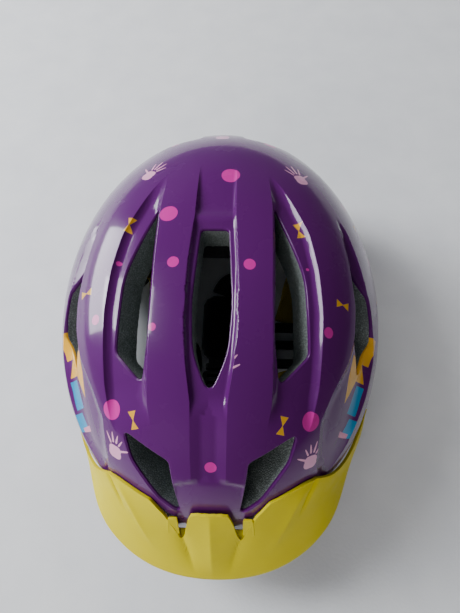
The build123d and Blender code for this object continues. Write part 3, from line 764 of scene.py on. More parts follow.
def knit_material():
    """A brushed knit cover: small loops under a soft nap."""
    dark, light = (0.012, 0.012, 0.014), (0.045, 0.045, 0.052)
    m = Nodes("pad knit", dark, 0.95, Sheen_Weight=0.35, Sheen_Roughness=0.4, Specular_IOR_Level=0.2)
    loops = m.cells(950.0, feature="F1", randomness=0.55)
    nap = m.noise(600.0, 5.0)
    m.paint(m.math("MULTIPLY", m.ramp(loops, 0.1, 0.7, 1.0, 0.2), nap), dark, light)
    height = m.math("ADD", m.ramp(loops, 0.0, 0.7, 1.0, 0.0), m.math("MULTIPLY", nap, 0.6))
    m.bump(height, 0.00035, 0.8)
    return m.material


def hook_material():
    """Hook tape: rows of tiny stiff hooks."""
    m = Nodes("hook tape", (0.01, 0.01, 0.01), 0.8)
    hooks = m.cells(1250.0, randomness=0.2)
    m.paint(m.ramp(hooks, 0.1, 0.5), (0.05, 0.05, 0.05), (0.006, 0.006, 0.006))
    m.bump(m.ramp(hooks, 0.0, 0.5, 1.0, 0.0), 0.0006, 1.0)
    return m.material


def webbing_material(name, dark, light):
    """Woven webbing: a herringbone of yarns, read from each strap's own coordinates."""
    m = Nodes(name, light, 0.8, Sheen_Weight=0.25, Sheen_Roughness=0.45, Specular_IOR_Level=0.25)
    own = m.node("ShaderNodeAttribute", "Vector", attribute_name="weave")
    parts = m.tree.nodes.new("ShaderNodeSeparateXYZ")
    m.put(parts.inputs[0], own)
    along, across = parts.outputs[0], parts.outputs[1]
    zigzag = m.math("MULTIPLY", m.math("PINGPONG", across, 0.0022), 4200.0)
    yarn = m.math("SINE", m.math("ADD", m.math("MULTIPLY", along, 2800.0), zigzag))
    rib = m.math("SINE", m.math("MULTIPLY", across, 5200.0))
    weave = m.math("MULTIPLY_ADD", yarn, 0.5, m.math("MULTIPLY_ADD", rib, 0.25, 0.5))
    fuzz = m.noise(900.0, 4.0)
    tone = m.math("MULTIPLY", m.ramp(weave, -0.2, 1.1, 0.25, 1.0), m.ramp(fuzz, 0.2, 0.8, 0.75, 1.1))
    m.paint(tone, dark, light)
    m.bump(m.math("MULTIPLY_ADD", fuzz, 0.4, weave), 0.0003, 0.9)
    return m.material


def steel_material():
    """Plated steel with fine turning marks."""
    m = Nodes("plated steel", (0.55, 0.56, 0.57), 0.3, Metallic=1.0)
    turned = m.noise(700.0, 3.0)
    m.polish(turned, 0.22, 0.42)
    m.bump(turned, 0.00004, 0.5)
    return m.material


def rubber_material():
    """Moulded rubber with a dusty bloom."""
    m = Nodes("moulded rubber", (0.015, 0.015, 0.016), 0.7, Specular_IOR_Level=0.35)
    m.paint(m.ramp(m.noise(70.0, 4.0), 0.4, 0.7), (0.012, 0.012, 0.013), (0.03, 0.03, 0.03))
    m.bump(m.noise(800.0, 4.0), 0.00015, 0.6)
    return m.material


SHELL = shell_material()
FOAM = foam_material()
YELLOW = visor_material()
EDGE = plastic_material("edge trim", (0.012, 0.012, 0.014), 0.3, 900.0, 0.00004)
BLACK = plastic_material("fitting plastic", (0.014, 0.014, 0.016), 0.45)
SOFT_TOUCH = plastic_material("dial plastic", (0.03, 0.03, 0.033), 0.6, 1900.0, 0.0001)
KNIT = knit_material()
HOOK = hook_material()
WEB = webbing_material("yellow webbing", (0.16, 0.11, 0.012), (0.6, 0.45, 0.06))
DARK_WEB = webbing_material("black webbing", (0.004, 0.004, 0.005), (0.035, 0.035, 0.038))
STEEL = steel_material()
RUBBER = rubber_material()


# ---------------------------------------------------------------- shell, liner and trim

def build_shell_and_liner():
    """Two skins over one triangulation, with the foam's vent walls, cavity and underside."""
    border = rim_loop(OUTER, SHELL_LOW)
    holes = [loop for loop, _ in VENTS]
    channels = [loop for group in CHANNELS.values() for loop in group]
    uv, faces, loops = triangulate(border, holes, channels, 3.0)
    top, top_n = surface(uv)
    low, _ = surface(uv, SHELL_THICKNESS)
    n = len(uv)
    skin = [tuple(f) for f in faces] + [tuple(f[::-1] + n) for f in faces]
    for loop in loops:
        skin += strip(loop, loop + n)
    shell = add_mesh("shell_skin", np.concatenate([top, low]), skin)
    fix_normals(shell)
    shade_by_corner(shell, np.concatenate([top_n, -top_n]), n)
    finish_piece(shell, "helmet", "shell", SHELL, "outer_shell")
    build_liner(uv, faces, loops)


def shade_by_corner(piece, normals, n):
    """The true normals on both skins, whose first has n points, and each wall's own on cut edges."""
    mesh = piece.data
    custom = np.zeros((len(mesh.loops), 3), np.float32)
    for face in mesh.polygons:
        wall = len({v < n for v in face.vertices}) == 2
        for k in face.loop_indices:
            v = mesh.loops[k].vertex_index
            custom[k] = face.normal if wall else normals[v]
    mesh.normals_split_custom_set([tuple(c) for c in custom])


AIR_CHANNEL_DEPTH = 5.0
VENT_WALL_UNEVENNESS = 0.10


def cavity_depth(uv):
    """How far the cavity's air channels go into the foam, in its unrolled plane."""
    p = INNER.at(uv)[0]
    x, y = np.abs(p[:, 0]), p[:, 1]
    fade = smooth(p[:, 2], 52, 74)
    middle = 1 - smooth(x, 7.5, 11)
    side = smooth(x, 28.5, 31.5) * (1 - smooth(x, 42, 46))
    across = (1 - smooth(np.abs(y - 52), 7, 11)) * (1 - smooth(x, 40, 46))
    deep = np.maximum.reduce([middle, side, 0.8 * across]) * fade * (1 - smooth(np.abs(y), 78, 90))
    return -AIR_CHANNEL_DEPTH * deep


class Skin:
    """Points and faces of one closed mesh, grown ring by ring."""

    def __init__(self):
        self.points, self.faces, self.total = [], [], 0

    def add(self, points):
        """Adds points and gives their numbers."""
        self.points.append(points)
        self.total += len(points)
        return np.arange(self.total - len(points), self.total)

    def grow(self, ring, points):
        """Joins a ring to a new one, and gives the new one's numbers."""
        new = self.add(points)
        self.faces += strip(ring, new)
        return new


def cavity_hits(start, inward, reach=70.0, halvings=40):
    """Where lines from start leave the foam into the cavity."""
    near, far = np.zeros(len(start)), np.full(len(start), reach)
    for _ in range(halvings):
        half = (near + far) / 2
        out = INNER.outside(start + inward * half[:, None]) > 0
        near, far = np.where(out, half, near), np.where(out, far, half)
    return start + inward * far[:, None]


def build_liner(uv, faces, loops):
    """Foam: hidden outside, vent walls, cavity with air channels, and a flat underside."""
    body = Skin()
    outer, _ = surface(uv, FOAM_INSET)
    body.add(outer)
    body.faces += [tuple(f) for f in faces]

    walls = [(number, outer[number], inward) for number, (_, inward) in zip(loops[1:], VENTS)]
    walls = [(number, start, cavity_hits(start, inward)) for number, start, inward in walls]
    cavity_holes = [INNER.plane_of(end) for _, _, end in walls]
    cav_uv, cav_faces, cav_loops = triangulate(rim_loop(INNER, 0.0, 300, 0.0), cavity_holes, [], 3.6)
    cavity, _ = INNER.at(cav_uv, cavity_depth(cav_uv))
    first = body.add(cavity)[0]
    body.faces += [tuple(f[::-1] + first) for f in cav_faces]

    rng = np.random.default_rng(7)
    steps = 9
    for (ring, start, end), cav_number in zip(walls, cav_loops[1:]):
        for k in range(1, steps):
            row = start + (end - start) * (k / steps)
            ring = body.grow(ring, row + rng.normal(0, VENT_WALL_UNEVENNESS, row.shape))
        body.faces += strip(ring, cav_number + first)

    turn = np.arange(len(cav_loops[0])) * 2 * pi / len(cav_loops[0])
    ring = cav_loops[0] + first
    for share in (0.06, 0.2, 0.5, 0.8, 0.94, 1.0):
        ring = body.grow(ring, underside_ring(turn, share))
    low = underside_ring(turn, 1.0)
    low[:, 2] += (rim_z(low[:, 1]) + SHELL_LOW - low[:, 2]) * 0.5
    ring = body.grow(ring, low)
    points = np.concatenate(body.points)
    body.faces += bridge(ring, loops[0], points)

    liner = add_mesh("foam_body", points, body.faces, sharp=38)
    fix_normals(liner)
    finish_piece(liner, "helmet", "liner", FOAM, "foam_liner")


def bridge(lower, upper, points):
    """Triangles between two closed rings with different numbers of points, by turn."""

    def by_turn(ring):
        t = np.arctan2(points[ring][:, 1] / HALF_LENGTH, points[ring][:, 0] / HALF_WIDTH) % (2 * pi)
        order = np.argsort(t)
        return list(np.asarray(ring)[order]), list(t[order])

    a, ta = by_turn(lower)
    b, tb = by_turn(upper)
    a, ta, b, tb = a + a[:1], ta + [ta[0] + 2 * pi], b + b[:1], tb + [tb[0] + 2 * pi]
    i = j = 0
    out = []
    while i < len(a) - 1 or j < len(b) - 1:
        if j == len(b) - 1 or (i < len(a) - 1 and ta[i + 1] <= tb[j + 1]):
            out.append((a[i], a[i + 1], b[j]))
            i += 1
        else:
            out.append((a[i], b[j + 1], b[j]))
            j += 1
    return out


def underside_ring(turn, share):
    """A ring on the flat underside, at a share of the way from the cavity to the outer wall."""
    inner = np.array([INNER.hw, INNER.hl])
    outer = np.array([OUTER.hw - FOAM_INSET, OUTER.hl - FOAM_INSET])
    half = inner + (outer - inner) * share
    x, y = half[0] * np.cos(turn), half[1] * np.sin(turn)
    return np.stack([x, y, np.maximum(rim_z(y), 0)], 1)


def build_trim():
    """The glossy edge band, with rounded edges, all the way round."""
    n = 420
    turn = np.arange(n) * 2 * pi / n
    section = [(-0.9, 0.0), (0.2, 0.0), (0.6, 0.07), (0.8, 0.2),
               (0.8, 0.8), (0.6, 0.93), (0.2, 1.0), (-0.9, 1.0)]
    rows, faces = [], []
    for out, up in section:
        x, y = (HALF_WIDTH + out) * np.cos(turn), (HALF_LENGTH + out) * np.sin(turn)
        low = np.maximum(rim_z(y) + TRIM_RISE, TRIM_RISE)
        rows.append(np.stack([x, y, low + (rim_z(y) + TRIM_TOP - low) * up], 1))
    for k in range(len(section)):
        faces += strip(np.arange(n) + k * n, np.arange(n) + ((k + 1) % len(section)) * n)
    trim = add_mesh("edge_band", np.concatenate(rows), faces, sharp=60)
    fix_normals(trim)
    finish_piece(trim, "helmet", "trim", EDGE, "edge_trim")


# ---------------------------------------------------------------- visor

def visor_curves(count):
    """The visor's two full edges, from the right arm's tip to the left arm's."""
    upper = []
    for x, z in VISOR_UPPER:
        up = max(0.0, (z - WIDEST_Z) / CROWN_RISE)
        ring = (1 - up**EXPONENT) ** (1 / EXPONENT)
        y = -(HALF_LENGTH + VISOR_GAP) * sqrt(ring**2 - (x / (HALF_WIDTH + VISOR_GAP)) ** 2)
        upper.append((x, y, z))
    both = [[(-p[0], *p[1:]) for p in edge[:0:-1]] + edge for edge in (upper, VISOR_LOWER)]
    return [natural_spline(edge, count) for edge in both]


def visor_relief(x, fall):
    """How far the face stands out at x and at a share of the way down from the upper edge."""
    a = np.abs(x)
    keel = 1.6 * np.exp(-a / 6.0) * smooth(fall, -0.1, 0.2) * (1 - smooth(fall, 0.6, 1.0))
    inner = -2.0 * np.exp(-np.abs(a - (20.5 - 12.5 * fall)) / 3.6)
    inner *= smooth(fall, 0.2, 0.42) * (1 - smooth(fall, 0.55, 0.95))
    outer = 1.5 * np.exp(-np.abs(a - (47.5 - 22.0 * fall)) / 4.5)
    outer *= smooth(fall, 0.0, 0.16) * (1 - smooth(fall, 0.4, 0.75))
    slit = -1.6 * np.exp(-(a - (53.5 - 18.0 * fall)) ** 2)
    slit *= smooth(fall, -0.02, 0.04) * (1 - smooth(fall, 0.2, 0.42))
    hollow = -1.2 * np.sin(pi * np.clip(fall, 0, 1))
    return keel + inner + outer + slit + hollow


def build_visor():
    """A thin moulded peak with folds, a notched upper edge and two arms."""
    count = 321
    upper, lower = visor_curves(count)
    shares = np.concatenate([np.linspace(0, 0.12, 7)[:-1], np.linspace(0.12, 0.94, 34), [0.965, 0.985, 1.0]])
    cut_x, cut_z = zip(*VISOR_CUT)
    falls = []
    fine = np.linspace(0, 0.9, 181)
    for top, low in zip(upper, lower):
        line = top + (low - top) * fine[:, None]
        open_at = np.argmax(line[:, 2] <= np.interp(np.abs(line[:, 0]), cut_x, cut_z) + 1e-6)
        start = fine[open_at]
        falls.append(start + (1 - start) * shares)
    falls = np.array(falls)
    base = upper[:, None, :] + (lower - upper)[:, None, :] * falls[:, :, None]
    du = np.gradient(base, axis=0)
    across = (lower - upper)[:, None, :] + np.zeros_like(base)
    n = unit(np.cross(across, du))
    n *= np.sign(-(n[:, :, 1:2]) + 1e-9)
    arm = smooth(np.abs(base[:, :, 0]), 70, 84)
    relief = visor_relief(base[:, :, 0], falls) * (1 - arm) + VISOR_THICKNESS * 0.5
    roll = 0.8 * (1 - smooth((1 - falls), 0, 0.035)) * (1 - arm)
    lift = (relief - roll + VISOR_GAP / 2)[:, :, None]
    face, back = base + n * lift, base + n * (lift - VISOR_THICKNESS * 0.9)
    rows = len(shares)

    def number(i, j):
        return i * rows + j

    faces = []
    for i in range(count - 1):
        for j in range(rows - 1):
            quad = (number(i, j), number(i + 1, j), number(i + 1, j + 1), number(i, j + 1))
            faces += [quad, tuple(k + count * rows for k in quad[::-1])]
    border = [number(i, 0) for i in range(count)] + [number(count - 1, j) for j in range(1, rows)]
    border += [number(i, rows - 1) for i in range(count - 2, -1, -1)]
    border += [number(0, j) for j in range(rows - 2, 0, -1)]
    border = np.array(border)
    faces += strip(border, border + count * rows)
    points = np.concatenate([face.reshape(-1, 3), back.reshape(-1, 3)])
    visor = add_mesh("visor_peak", points, faces, sharp=50)
    fix_normals(visor)
    bevel(visor, 0.45, 50)
    finish_piece(visor, "visor", "visor", YELLOW, "visor")
    for side in (1, -1):
        build_hook(side)


def visor_sweep(name, path, widths, xs, thickness):
    """A flat tongue of changing width along a path in y and z."""
    count = 24
    centre = natural_spline([(x, y, z) for x, (y, z) in zip(xs, path)], count)
    width = np.interp(np.linspace(0, 1, count), np.linspace(0, 1, len(widths)), widths)
    up = unit(np.cross(np.gradient(centre, axis=0), [1.0, 0, 0]))
    section = [(-1, -thickness / 2), (-0.9, thickness / 2), (0.9, thickness / 2), (1, -thickness / 2)]
    points = [c + [w * a, 0, 0] + b * u for c, w, u in zip(centre, width, up) for a, b in section]
    faces = []
    for i in range(count - 1):
        faces += strip(np.arange(4) + 4 * i, np.arange(4) + 4 * i + 4)
    last = 4 * count
    faces += [(0, 1, 2, 3), (last - 1, last - 2, last - 3, last - 4)]
    tongue = add_mesh(name, points, faces, sharp=40)
    fix_normals(tongue)
    bevel(tongue, 0.3)
    finish_piece(tongue, "visor", "visor", YELLOW)


# The visor's hooks and the ledges below them, in y and z, their half widths and their middles in x.
HOOK_PATH = [(-131.1, 79.6), (-128.7, 83.6), (-127.2, 86.4), (-126.0, 88.6), (-125.0, 90.4), (-124.2, 91.8)]
HOOK_WIDTHS = [3.2, 3.1, 3.0, 2.9, 2.7, 2.4]
HOOK_MIDDLES = [19.4, 19.4, 19.3, 19.2, 19.1, 19.0]
LEDGE_PATH = [(-133.0, 75.3), (-131.6, 75.5), (-130.2, 75.7), (-128.9, 75.9)]
LEDGE_WIDTHS = [5.6, 5.6, 5.6, 5.4]
LEDGE_MIDDLES = [15.4] * 4
TONGUE_THICKNESS = 1.4


def build_hook(side):
    """A hook from the visor's back up to the front vent, and a ledge that closes the gap below."""
    name = "left" if side > 0 else "right"
    for kind, path, widths, middles in (("hook", HOOK_PATH, HOOK_WIDTHS, HOOK_MIDDLES),
                                        ("ledge", LEDGE_PATH, LEDGE_WIDTHS, LEDGE_MIDDLES)):
        xs = [side * x for x in middles]
        visor_sweep(f"visor_{kind}_{name}", path, widths, xs, TONGUE_THICKNESS)


# ---------------------------------------------------------------- webbing

WEB_WIDTH, WEB_THICKNESS = 18.0, 1.8

# Each strap's middle line and the direction across it, point by point.
FRONT_STRAP = (
    [(61.4, -60.4, 17), (59, -59, 16.4), (56.6, -55, 10.5), (55, -48, 3.6), (52, -34, 1.5), (48, -19, 1.5)],
    [(0.49, 0.87, 0), (0.49, 0.87, 0), (0.7, 0.71, 0), (0.96, 0.28, 0), (0.97, 0.24, 0), (0.98, 0.2, 0)])
REAR_STRAP = (
    [(61.4, 60.4, 17), (59, 59, 16.4), (56.6, 55, 10.5), (55, 48, 3.6), (52, 35, 1.5), (48, 21, 1.5)],
    [(x, -y, z) for x, y, z in FRONT_STRAP[1]])
CHIN_STRAP_LEFT = (
    [(37, 1, 2.4), (31, 3.5, 2.1), (27.5, 11, 1.5), (27, 24, 1.4), (27, 41, 1.7), (22.6, 53, 2.9),
     (12, 57.5, 4.1), (1.4, 53, 4.9), (-3, 44.2, 5.2)],
    [(0, 1, 0), (0.38, 0.92, 0), (0.9, 0.44, 0), (1, 0, 0), (1, 0.05, 0), (0.71, 0.71, 0),
     (0, 1, 0), (-0.71, 0.71, 0), (-1, 0, 0)])
CHIN_STRAP_RIGHT = (
    [(-37, 1, 2.4), (-31, -1.5, 2.1), (-27.5, -9, 1.5), (-27, -24, 1.4), (-27, -68, 1.5),
     (-24.5, -79, 2.4), (-15, -85, 3.5), (-5.5, -79, 4.7), (-3, -68.6, 5.4)],
    [(0, -1, 0), (-0.38, -0.92, 0), (-0.9, -0.44, 0), (-1, 0, 0), (-1, -0.05, 0),
     (-0.8, -0.6, 0), (0, -1, 0), (0.8, -0.6, 0), (1, 0, 0)])


def web_ribbon(name, points, across, count=90):
    """Webbing with rounded selvedges, and its own along and across coordinates for the weave."""
    line = natural_spline(points, count)
    s = travelled(np.array(points, float))
    at = np.linspace(0, s[-1], count)
    wide = np.stack([np.interp(at, s, np.array(across, float)[:, k]) for k in range(3)], 1)
    tangent = unit(np.gradient(line, axis=0))
    wide = unit(wide - tangent * np.sum(wide * tangent, 1)[:, None])
    up = np.cross(tangent, wide)
    up *= np.sign(up[:, 2:3] + 1e-9)
    h, w = WEB_THICKNESS / 2, WEB_WIDTH / 2
    section = [(-w, -0.3 * h), (-w + 0.5, -0.85 * h), (-w / 2, -h * 0.92), (0, -h * 0.92),
               (w / 2, -h * 0.92), (w - 0.5, -0.85 * h), (w, -0.3 * h), (w, 0.3 * h),
               (w - 0.5, 0.85 * h), (w * 0.6, h * 0.9), (0, h), (-w * 0.6, h * 0.9),
               (-w + 0.5, 0.85 * h), (-w, 0.3 * h)]
    points_out, weave = [], []
    for c, a, u, d in zip(line, wide, up, travelled(line)):
        for sx, sy in section:
            points_out.append(c + a * sx + u * sy)
            weave.append((d * MM, (sx + 40) * MM, sy * MM))
    m = len(section)
    faces = []
    for i in range(count - 1):
        faces += strip(np.arange(m) + m * i, np.arange(m) + m * (i + 1))
    faces += [tuple(range(m)), tuple(range(m * count - 1, m * count - m - 1, -1))]
    piece = add_mesh(name, points_out, faces, sharp=60)
    fix_normals(piece)
    mark = piece.data.attributes.new("weave", "FLOAT_VECTOR", "POINT")
    mark.data.foreach_set("vector", np.array(weave, np.float32).ravel())
    return piece


def mirrored_path(path):
    """A strap's line and directions on the wearer's right."""
    points, across = path
    return [(-p[0], *p[1:]) for p in points], [(-a[0], *a[1:]) for a in across]


def build_straps():
    """The four side straps, the two chin straps and the web through the buckle's plug."""
    for name, side in (("left", 1), ("right", -1)):
        for kind, path in (("front", FRONT_STRAP), ("rear", REAR_STRAP)):
            points, across = path if side > 0 else mirrored_path(path)
            piece = web_ribbon(f"{kind}_webbing_{name}", points, across)
            finish_piece(piece, "helmet", "webbing", WEB, f"{kind}_strap_{name}")
    right = web_ribbon("chin_webbing_right", *CHIN_STRAP_RIGHT, count=140)
    finish_piece(right, "helmet", "dark_webbing", DARK_WEB, "chin_strap_right")
    left = web_ribbon("chin_webbing_left", *CHIN_STRAP_LEFT, count=140)
    left.data.materials.append(DARK_WEB)
    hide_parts("chin_strap_left")
    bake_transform(left)
    low, high = (np.array(c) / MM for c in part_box("chin_web"))
    mid_x, mid_z = (low[0] + high[0]) / 2, (low[2] + high[2]) / 2
    line = [(mid_x, y, mid_z) for y in (low[1], (low[1] + high[1]) / 2, high[1])]
    middle = web_ribbon("chin_webbing_middle", line, [(1, 0, 0)] * 3, count=24)
    finish_piece(middle, "plug", "dark_webbing", DARK_WEB, "chin_web")


# ---------------------------------------------------------------- padding

PAD_SHRINK, PAD_VOXEL, PAD_PRESSURE, PAD_FRAMES = 0.7, 2.6, 4.0, 12


def pad_piece(node, name, body, cap, voxel=PAD_VOXEL):
    """A padded cover swollen by cloth pressure over a slightly smaller copy of its CAD solid."""
    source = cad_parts[node].data.copy()
    piece = new_object(name, source)
    source.materials.clear()
    work = bmesh.new()
    work.from_mesh(source)
    bmesh.ops.remove_doubles(work, verts=work.verts, dist=1e-6)
    bmesh.ops.recalc_face_normals(work, faces=work.faces)
    work.normal_update()
    for v in work.verts:
        v.co -= v.normal * PAD_SHRINK * MM
    work.to_mesh(source)
    work.free()
    bpy.ops.object.select_all(action="DESELECT")
    bpy.context.view_layer.objects.active = piece
    piece.select_set(True)
    remesh = piece.modifiers.new("remesh", "REMESH")
    remesh.mode = "VOXEL"
    remesh.voxel_size = voxel * MM
    bpy.ops.object.modifier_apply(modifier=remesh.name)
    start = np.array([v.co for v in piece.data.vertices])
    cloth = piece.modifiers.new("cloth", "CLOTH")
    cloth.settings.use_pressure = True
    cloth.settings.uniform_pressure_force = PAD_PRESSURE
    cloth.settings.effector_weights.gravity = 0
    cloth.settings.quality = 4
    scene = bpy.context.scene
    cloth.point_cache.frame_start, cloth.point_cache.frame_end = 1, 20
    for f in range(1, PAD_FRAMES + 1):
        scene.frame_set(f)
    bpy.ops.object.modifier_apply(modifier=cloth.name)
    scene.frame_set(1)
    move = np.array([v.co for v in piece.data.vertices]) - start
    size = np.linalg.norm(move, axis=1)
    end = start + move * (np.minimum(size, cap * MM) / np.maximum(size, 1e-9))[:, None]
    piece.data.vertices.foreach_set("co", end.astype(np.float32).ravel())
    soften = piece.modifiers.new("soften", "SMOOTH")
    soften.factor, soften.iterations = 0.5, 4
    sub = piece.modifiers.new("smooth", "SUBSURF")
    sub.levels = sub.render_levels = 1
    bpy.ops.object.modifier_apply(modifier=soften.name)
    bpy.ops.object.modifier_apply(modifier=sub.name)
    piece.data.shade_smooth()
    finish_piece(piece, body, "pad", KNIT, node)


def build_pads():
    """Every cushion, with how far its cover may swell in millimetres."""
    pad_piece("brow_pad", "brow_cushion", "helmet", 1.2)
    for side in ("left", "right"):
        pad_piece(f"crown_pad_{side}", f"crown_cushion_{side}", "helmet", 1.2)
        pad_piece(f"temple_pad_{side}", f"temple_cushion_{side}", "helmet", 1.2)
    pad_piece("nape_pad", "nape_cushion", "cradle", 1.0, 2.0)
    pad_piece("chin_pad", "chin_cushion", "plug", 1.6)


# ---------------------------------------------------------------- fit bands

BAND_PATH = [(68, -53), (68, -47), (68, -42), (68.4, -34), (72, -8), (73, 16), (66, 46), (54, 68), (44.2, 80)]
BAND_LOW, BAND_HIGH = 26.0, 38.0
BAND_HALF, BAND_EDGE_HALF = 0.5, 0.8
PIVOT_Y, PIVOT_ROOM = -45.0, 2.4
SLOT_FIRST, SLOT_LAST, SLOT_PITCH, SLOT_LENGTH = 24.0, 128.0, 13.0, 8.2
ROUNDED_END = 7.0
BAND_ROWS, SLOT_ROWS = 13, slice(5, 7)
# A cell's sides: the two corners on each, and the step to the neighbour there.
CELL_SIDES = ((0, 1, 0, -1), (3, 2, 0, 1), (0, 3, -1, 0), (1, 2, 1, 0))


def band_cells(path, distance):
    """Which cells of the band are solid: all but those at the slots and at the pin."""
    solid = np.ones((len(path) - 1, BAND_ROWS - 1), bool)
    at = distance[:-1]
    slot = (at > SLOT_FIRST) & (at < SLOT_LAST) & ((at - SLOT_FIRST) % SLOT_PITCH < SLOT_LENGTH)
    solid[slot | (np.abs(path[:-1, 1] - PIVOT_Y) < PIVOT_ROOM), SLOT_ROWS] = False
    return solid


def build_band(side, name):
    """A thin springy band with thickened edges, a hole at the pin and slots along it."""
    path = natural_spline([(side * x, y, 0) for x, y in BAND_PATH], 150)
    tangent = unit(np.gradient(path, axis=0))
    out = np.stack([tangent[:, 1] * side, -tangent[:, 0] * side, np.zeros(len(path))], 1)
    distance = travelled(path)
    middle, half_height = (BAND_LOW + BAND_HIGH) / 2, (BAND_HIGH - BAND_LOW) / 2
    points, faces = [], []
    for p, n, d in zip(path, out, distance):
        taper = 0.5 + 0.5 * smooth(d, 0, ROUNDED_END)
        for v in np.linspace(-1, 1, BAND_ROWS):
            half = BAND_EDGE_HALF if abs(v) > 0.72 else BAND_HALF
            points += [p + n * s * half + [0, 0, middle + v * half_height * taper] for s in (1, -1)]
    solid = band_cells(path, distance)
    around = np.pad(solid, 1)
    for i, k in np.argwhere(solid):
        corners = ((i, k), (i + 1, k), (i + 1, k + 1), (i, k + 1))
        outer = [(a * BAND_ROWS + b) * 2 for a, b in corners]
        inner = [number + 1 for number in outer]
        faces += [tuple(outer), tuple(inner[::-1])]
        faces += [(outer[a], outer[b], inner[b], inner[a]) for a, b, along, up in CELL_SIDES
                  if not around[i + 1 + along, k + 1 + up]]
    band = add_mesh(f"fit_band_strip_{name}", points, faces, sharp=40)
    fix_normals(band)
    band.data.materials.append(BLACK)
    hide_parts(f"fit_band_{name}")
    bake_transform(band)


# ---------------------------------------------------------------- carried-over CAD nodes

# The bevel's width, in millimetres, of every CAD node that stays, by material.
CAD_FINISH = [
    (BLACK, {"temple_pin_left": 0.35, "temple_pin_right": 0.35, "fit_rack_left": 0.2,
             "fit_rack_right": 0.2, "dial_housing": 0.5, "dial_cover": 0.5, "dial_pinion": 0.15,
             "strap_anchors": 0.5, "strap_divider_left": 0.6, "strap_divider_right": 0.6,
             "buckle_female": 0.7, "buckle_male": 0.5}),
    (SOFT_TOUCH, {"fit_dial": 0.5}),
    (STEEL, {"dial_screw": 0.15, "cover_screws": 0.2}),
    (RUBBER, {"strap_keeper": 0.5}),
    (HOOK, {"pad_hook_discs": 0.2}),
]


def dress_cad_nodes():
    """Materials and soft edges for the CAD nodes that stay."""
    for material, widths in CAD_FINISH:
        for node, width in widths.items():
            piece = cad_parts[node]
            piece.data.materials.clear()
            piece.data.materials.append(material)
            bevel(piece, width, 40)
            shading = piece.modifiers.new("corner shading", "WEIGHTED_NORMAL")
            shading.keep_sharp = True


# ---------------------------------------------------------------- stage

def build_floor(half=3.0):
    """A pale matte floor at the height that the helmet stands on."""
    mesh = bpy.data.meshes.new("studio_floor")
    corners = [(-half, -half, 0), (half, -half, 0), (half, half, 0), (-half, half, 0)]
    mesh.from_pydata(corners, [], [(0, 1, 2, 3)])
    floor = new_object("studio_floor", mesh)
    m = Nodes("pale floor", (0.8, 0.8, 0.81), 0.9, Specular_IOR_Level=0.1)
    m.paint(m.ramp(m.noise(30.0, 5.0), 0.3, 0.7), (0.76, 0.765, 0.78), (0.82, 0.822, 0.83))
    m.bump(m.noise(500.0, 4.0), 0.0003, 0.35)
    mesh.materials.append(m.material)


# The room's colour on the window's side and on the other, and its strength.
COOL_SIDE, WARM_SIDE, ROOM_STRENGTH = (0.50, 0.56, 0.66, 1), (0.13, 0.12, 0.11, 1), 0.55


def build_world():
    """A dim room, cool on the window's side and warm on the other."""
    world = bpy.data.worlds.new("studio")
    world.use_nodes = True
    tree = world.node_tree
    coords = tree.nodes.new("ShaderNodeTexCoord")
    parts = tree.nodes.new("ShaderNodeSeparateXYZ")
    tree.links.new(coords.outputs["Generated"], parts.inputs[0])
    blend = tree.nodes.new("ShaderNodeMapRange")
    blend.inputs["From Min"].default_value = -0.9
    blend.inputs["From Max"].default_value = 0.9
    tree.links.new(parts.outputs[0], blend.inputs["Value"])
    tone = tree.nodes.new("ShaderNodeMix")
    tone.data_type = "RGBA"
    tone.inputs["A"].default_value, tone.inputs["B"].default_value = COOL_SIDE, WARM_SIDE
    tree.links.new(blend.outputs["Result"], tone.inputs["Factor"])
    tree.links.new(tone.outputs["Result"], tree.nodes["Background"].inputs[0])
    tree.nodes["Background"].inputs[1].default_value = ROOM_STRENGTH
    bpy.context.scene.world = world


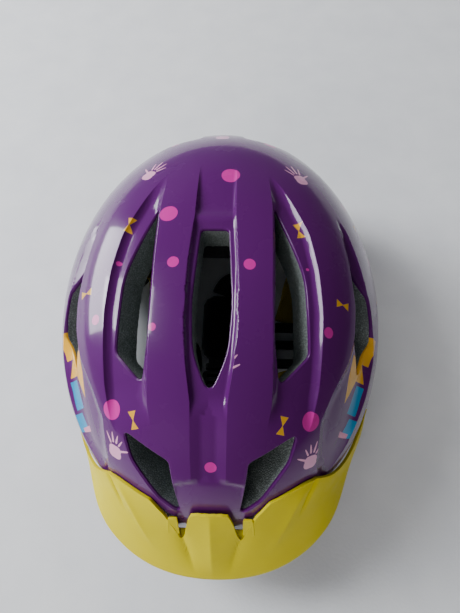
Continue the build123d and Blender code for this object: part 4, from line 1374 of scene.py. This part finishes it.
# Area lights, in metres and watts: name, place, aim, width, height, power, colour, and whether
# they show in reflections and light the object.
LIGHTS = [
    ("window", (-1.15, 0.25, 0.95), (0, 0, 0.1), 0.5, 1.0, 34, (0.93, 0.96, 1.0), True, True),
    ("pane", (-1.3, 0.5, 0.45), (0, 0, 0.1), 0.95, 0.6, 30, (0.93, 0.96, 1.0), True, False),
    ("rear", (-0.2, 1.7, 0.75), (0, 0, 0.05), 2.2, 0.6, 16, (1, 0.98, 0.95), False, True),
    ("front", (-0.7, -1.6, 0.9), (0, 0, 0.1), 1.4, 0.8, 15, (1, 0.97, 0.92), False, True),
]


def build_lights():
    """Soft light from a window at the rear left, its reflection, and two fills."""
    for name, place, aim, width, height, power, color, shows, lights_up in LIGHTS:
        light = bpy.data.lights.new(name, "AREA")
        light.shape = "RECTANGLE"
        light.size, light.size_y = width, height
        light.energy, light.color = power, color
        lamp = new_object(name, light)
        lamp.location = place
        lamp.rotation_mode = "QUATERNION"
        lamp.rotation_quaternion = (Vector(aim) - Vector(place)).to_track_quat("-Z", "Y")
        lamp.visible_glossy, lamp.visible_diffuse = shows, lights_up


# The camera's place in millimetres, its pitch down, yaw and roll in degrees, and its lens.
CAMERA_PLACE = (17.16, -123.2, 343.94)
CAMERA_TURNS = (65.09, -5.167, -3.889)
CAMERA_LENS, CAMERA_SENSOR = 26.785, 36.0


def build_camera():
    """The viewing angle from above the visor."""
    pitch, yaw, roll = (radians(turn) for turn in CAMERA_TURNS)
    look = Vector((sin(yaw) * cos(pitch), cos(yaw) * cos(pitch), -sin(pitch)))
    right = look.cross(Vector((0, 0, 1))).normalized()
    up = right.cross(look)
    turned_right = right * cos(roll) + up * sin(roll)
    turned_up = up * cos(roll) - right * sin(roll)
    data = bpy.data.cameras.new("camera")
    data.sensor_width = CAMERA_SENSOR
    data.lens = CAMERA_LENS
    data.clip_start, data.clip_end = 0.01, 20.0
    camera = new_object("camera", data)
    axes = Matrix((turned_right, turned_up, -look)).transposed().to_4x4()
    camera.matrix_world = Matrix.Translation(Vector(CAMERA_PLACE) * MM) @ axes
    bpy.context.scene.camera = camera


build_camera()
build_floor()
build_world()
build_lights()
build_shell_and_liner()
build_trim()
build_visor()
build_straps()
build_pads()
for side, name in ((1, "left"), (-1, "right")):
    build_band(side, name)
dress_cad_nodes()
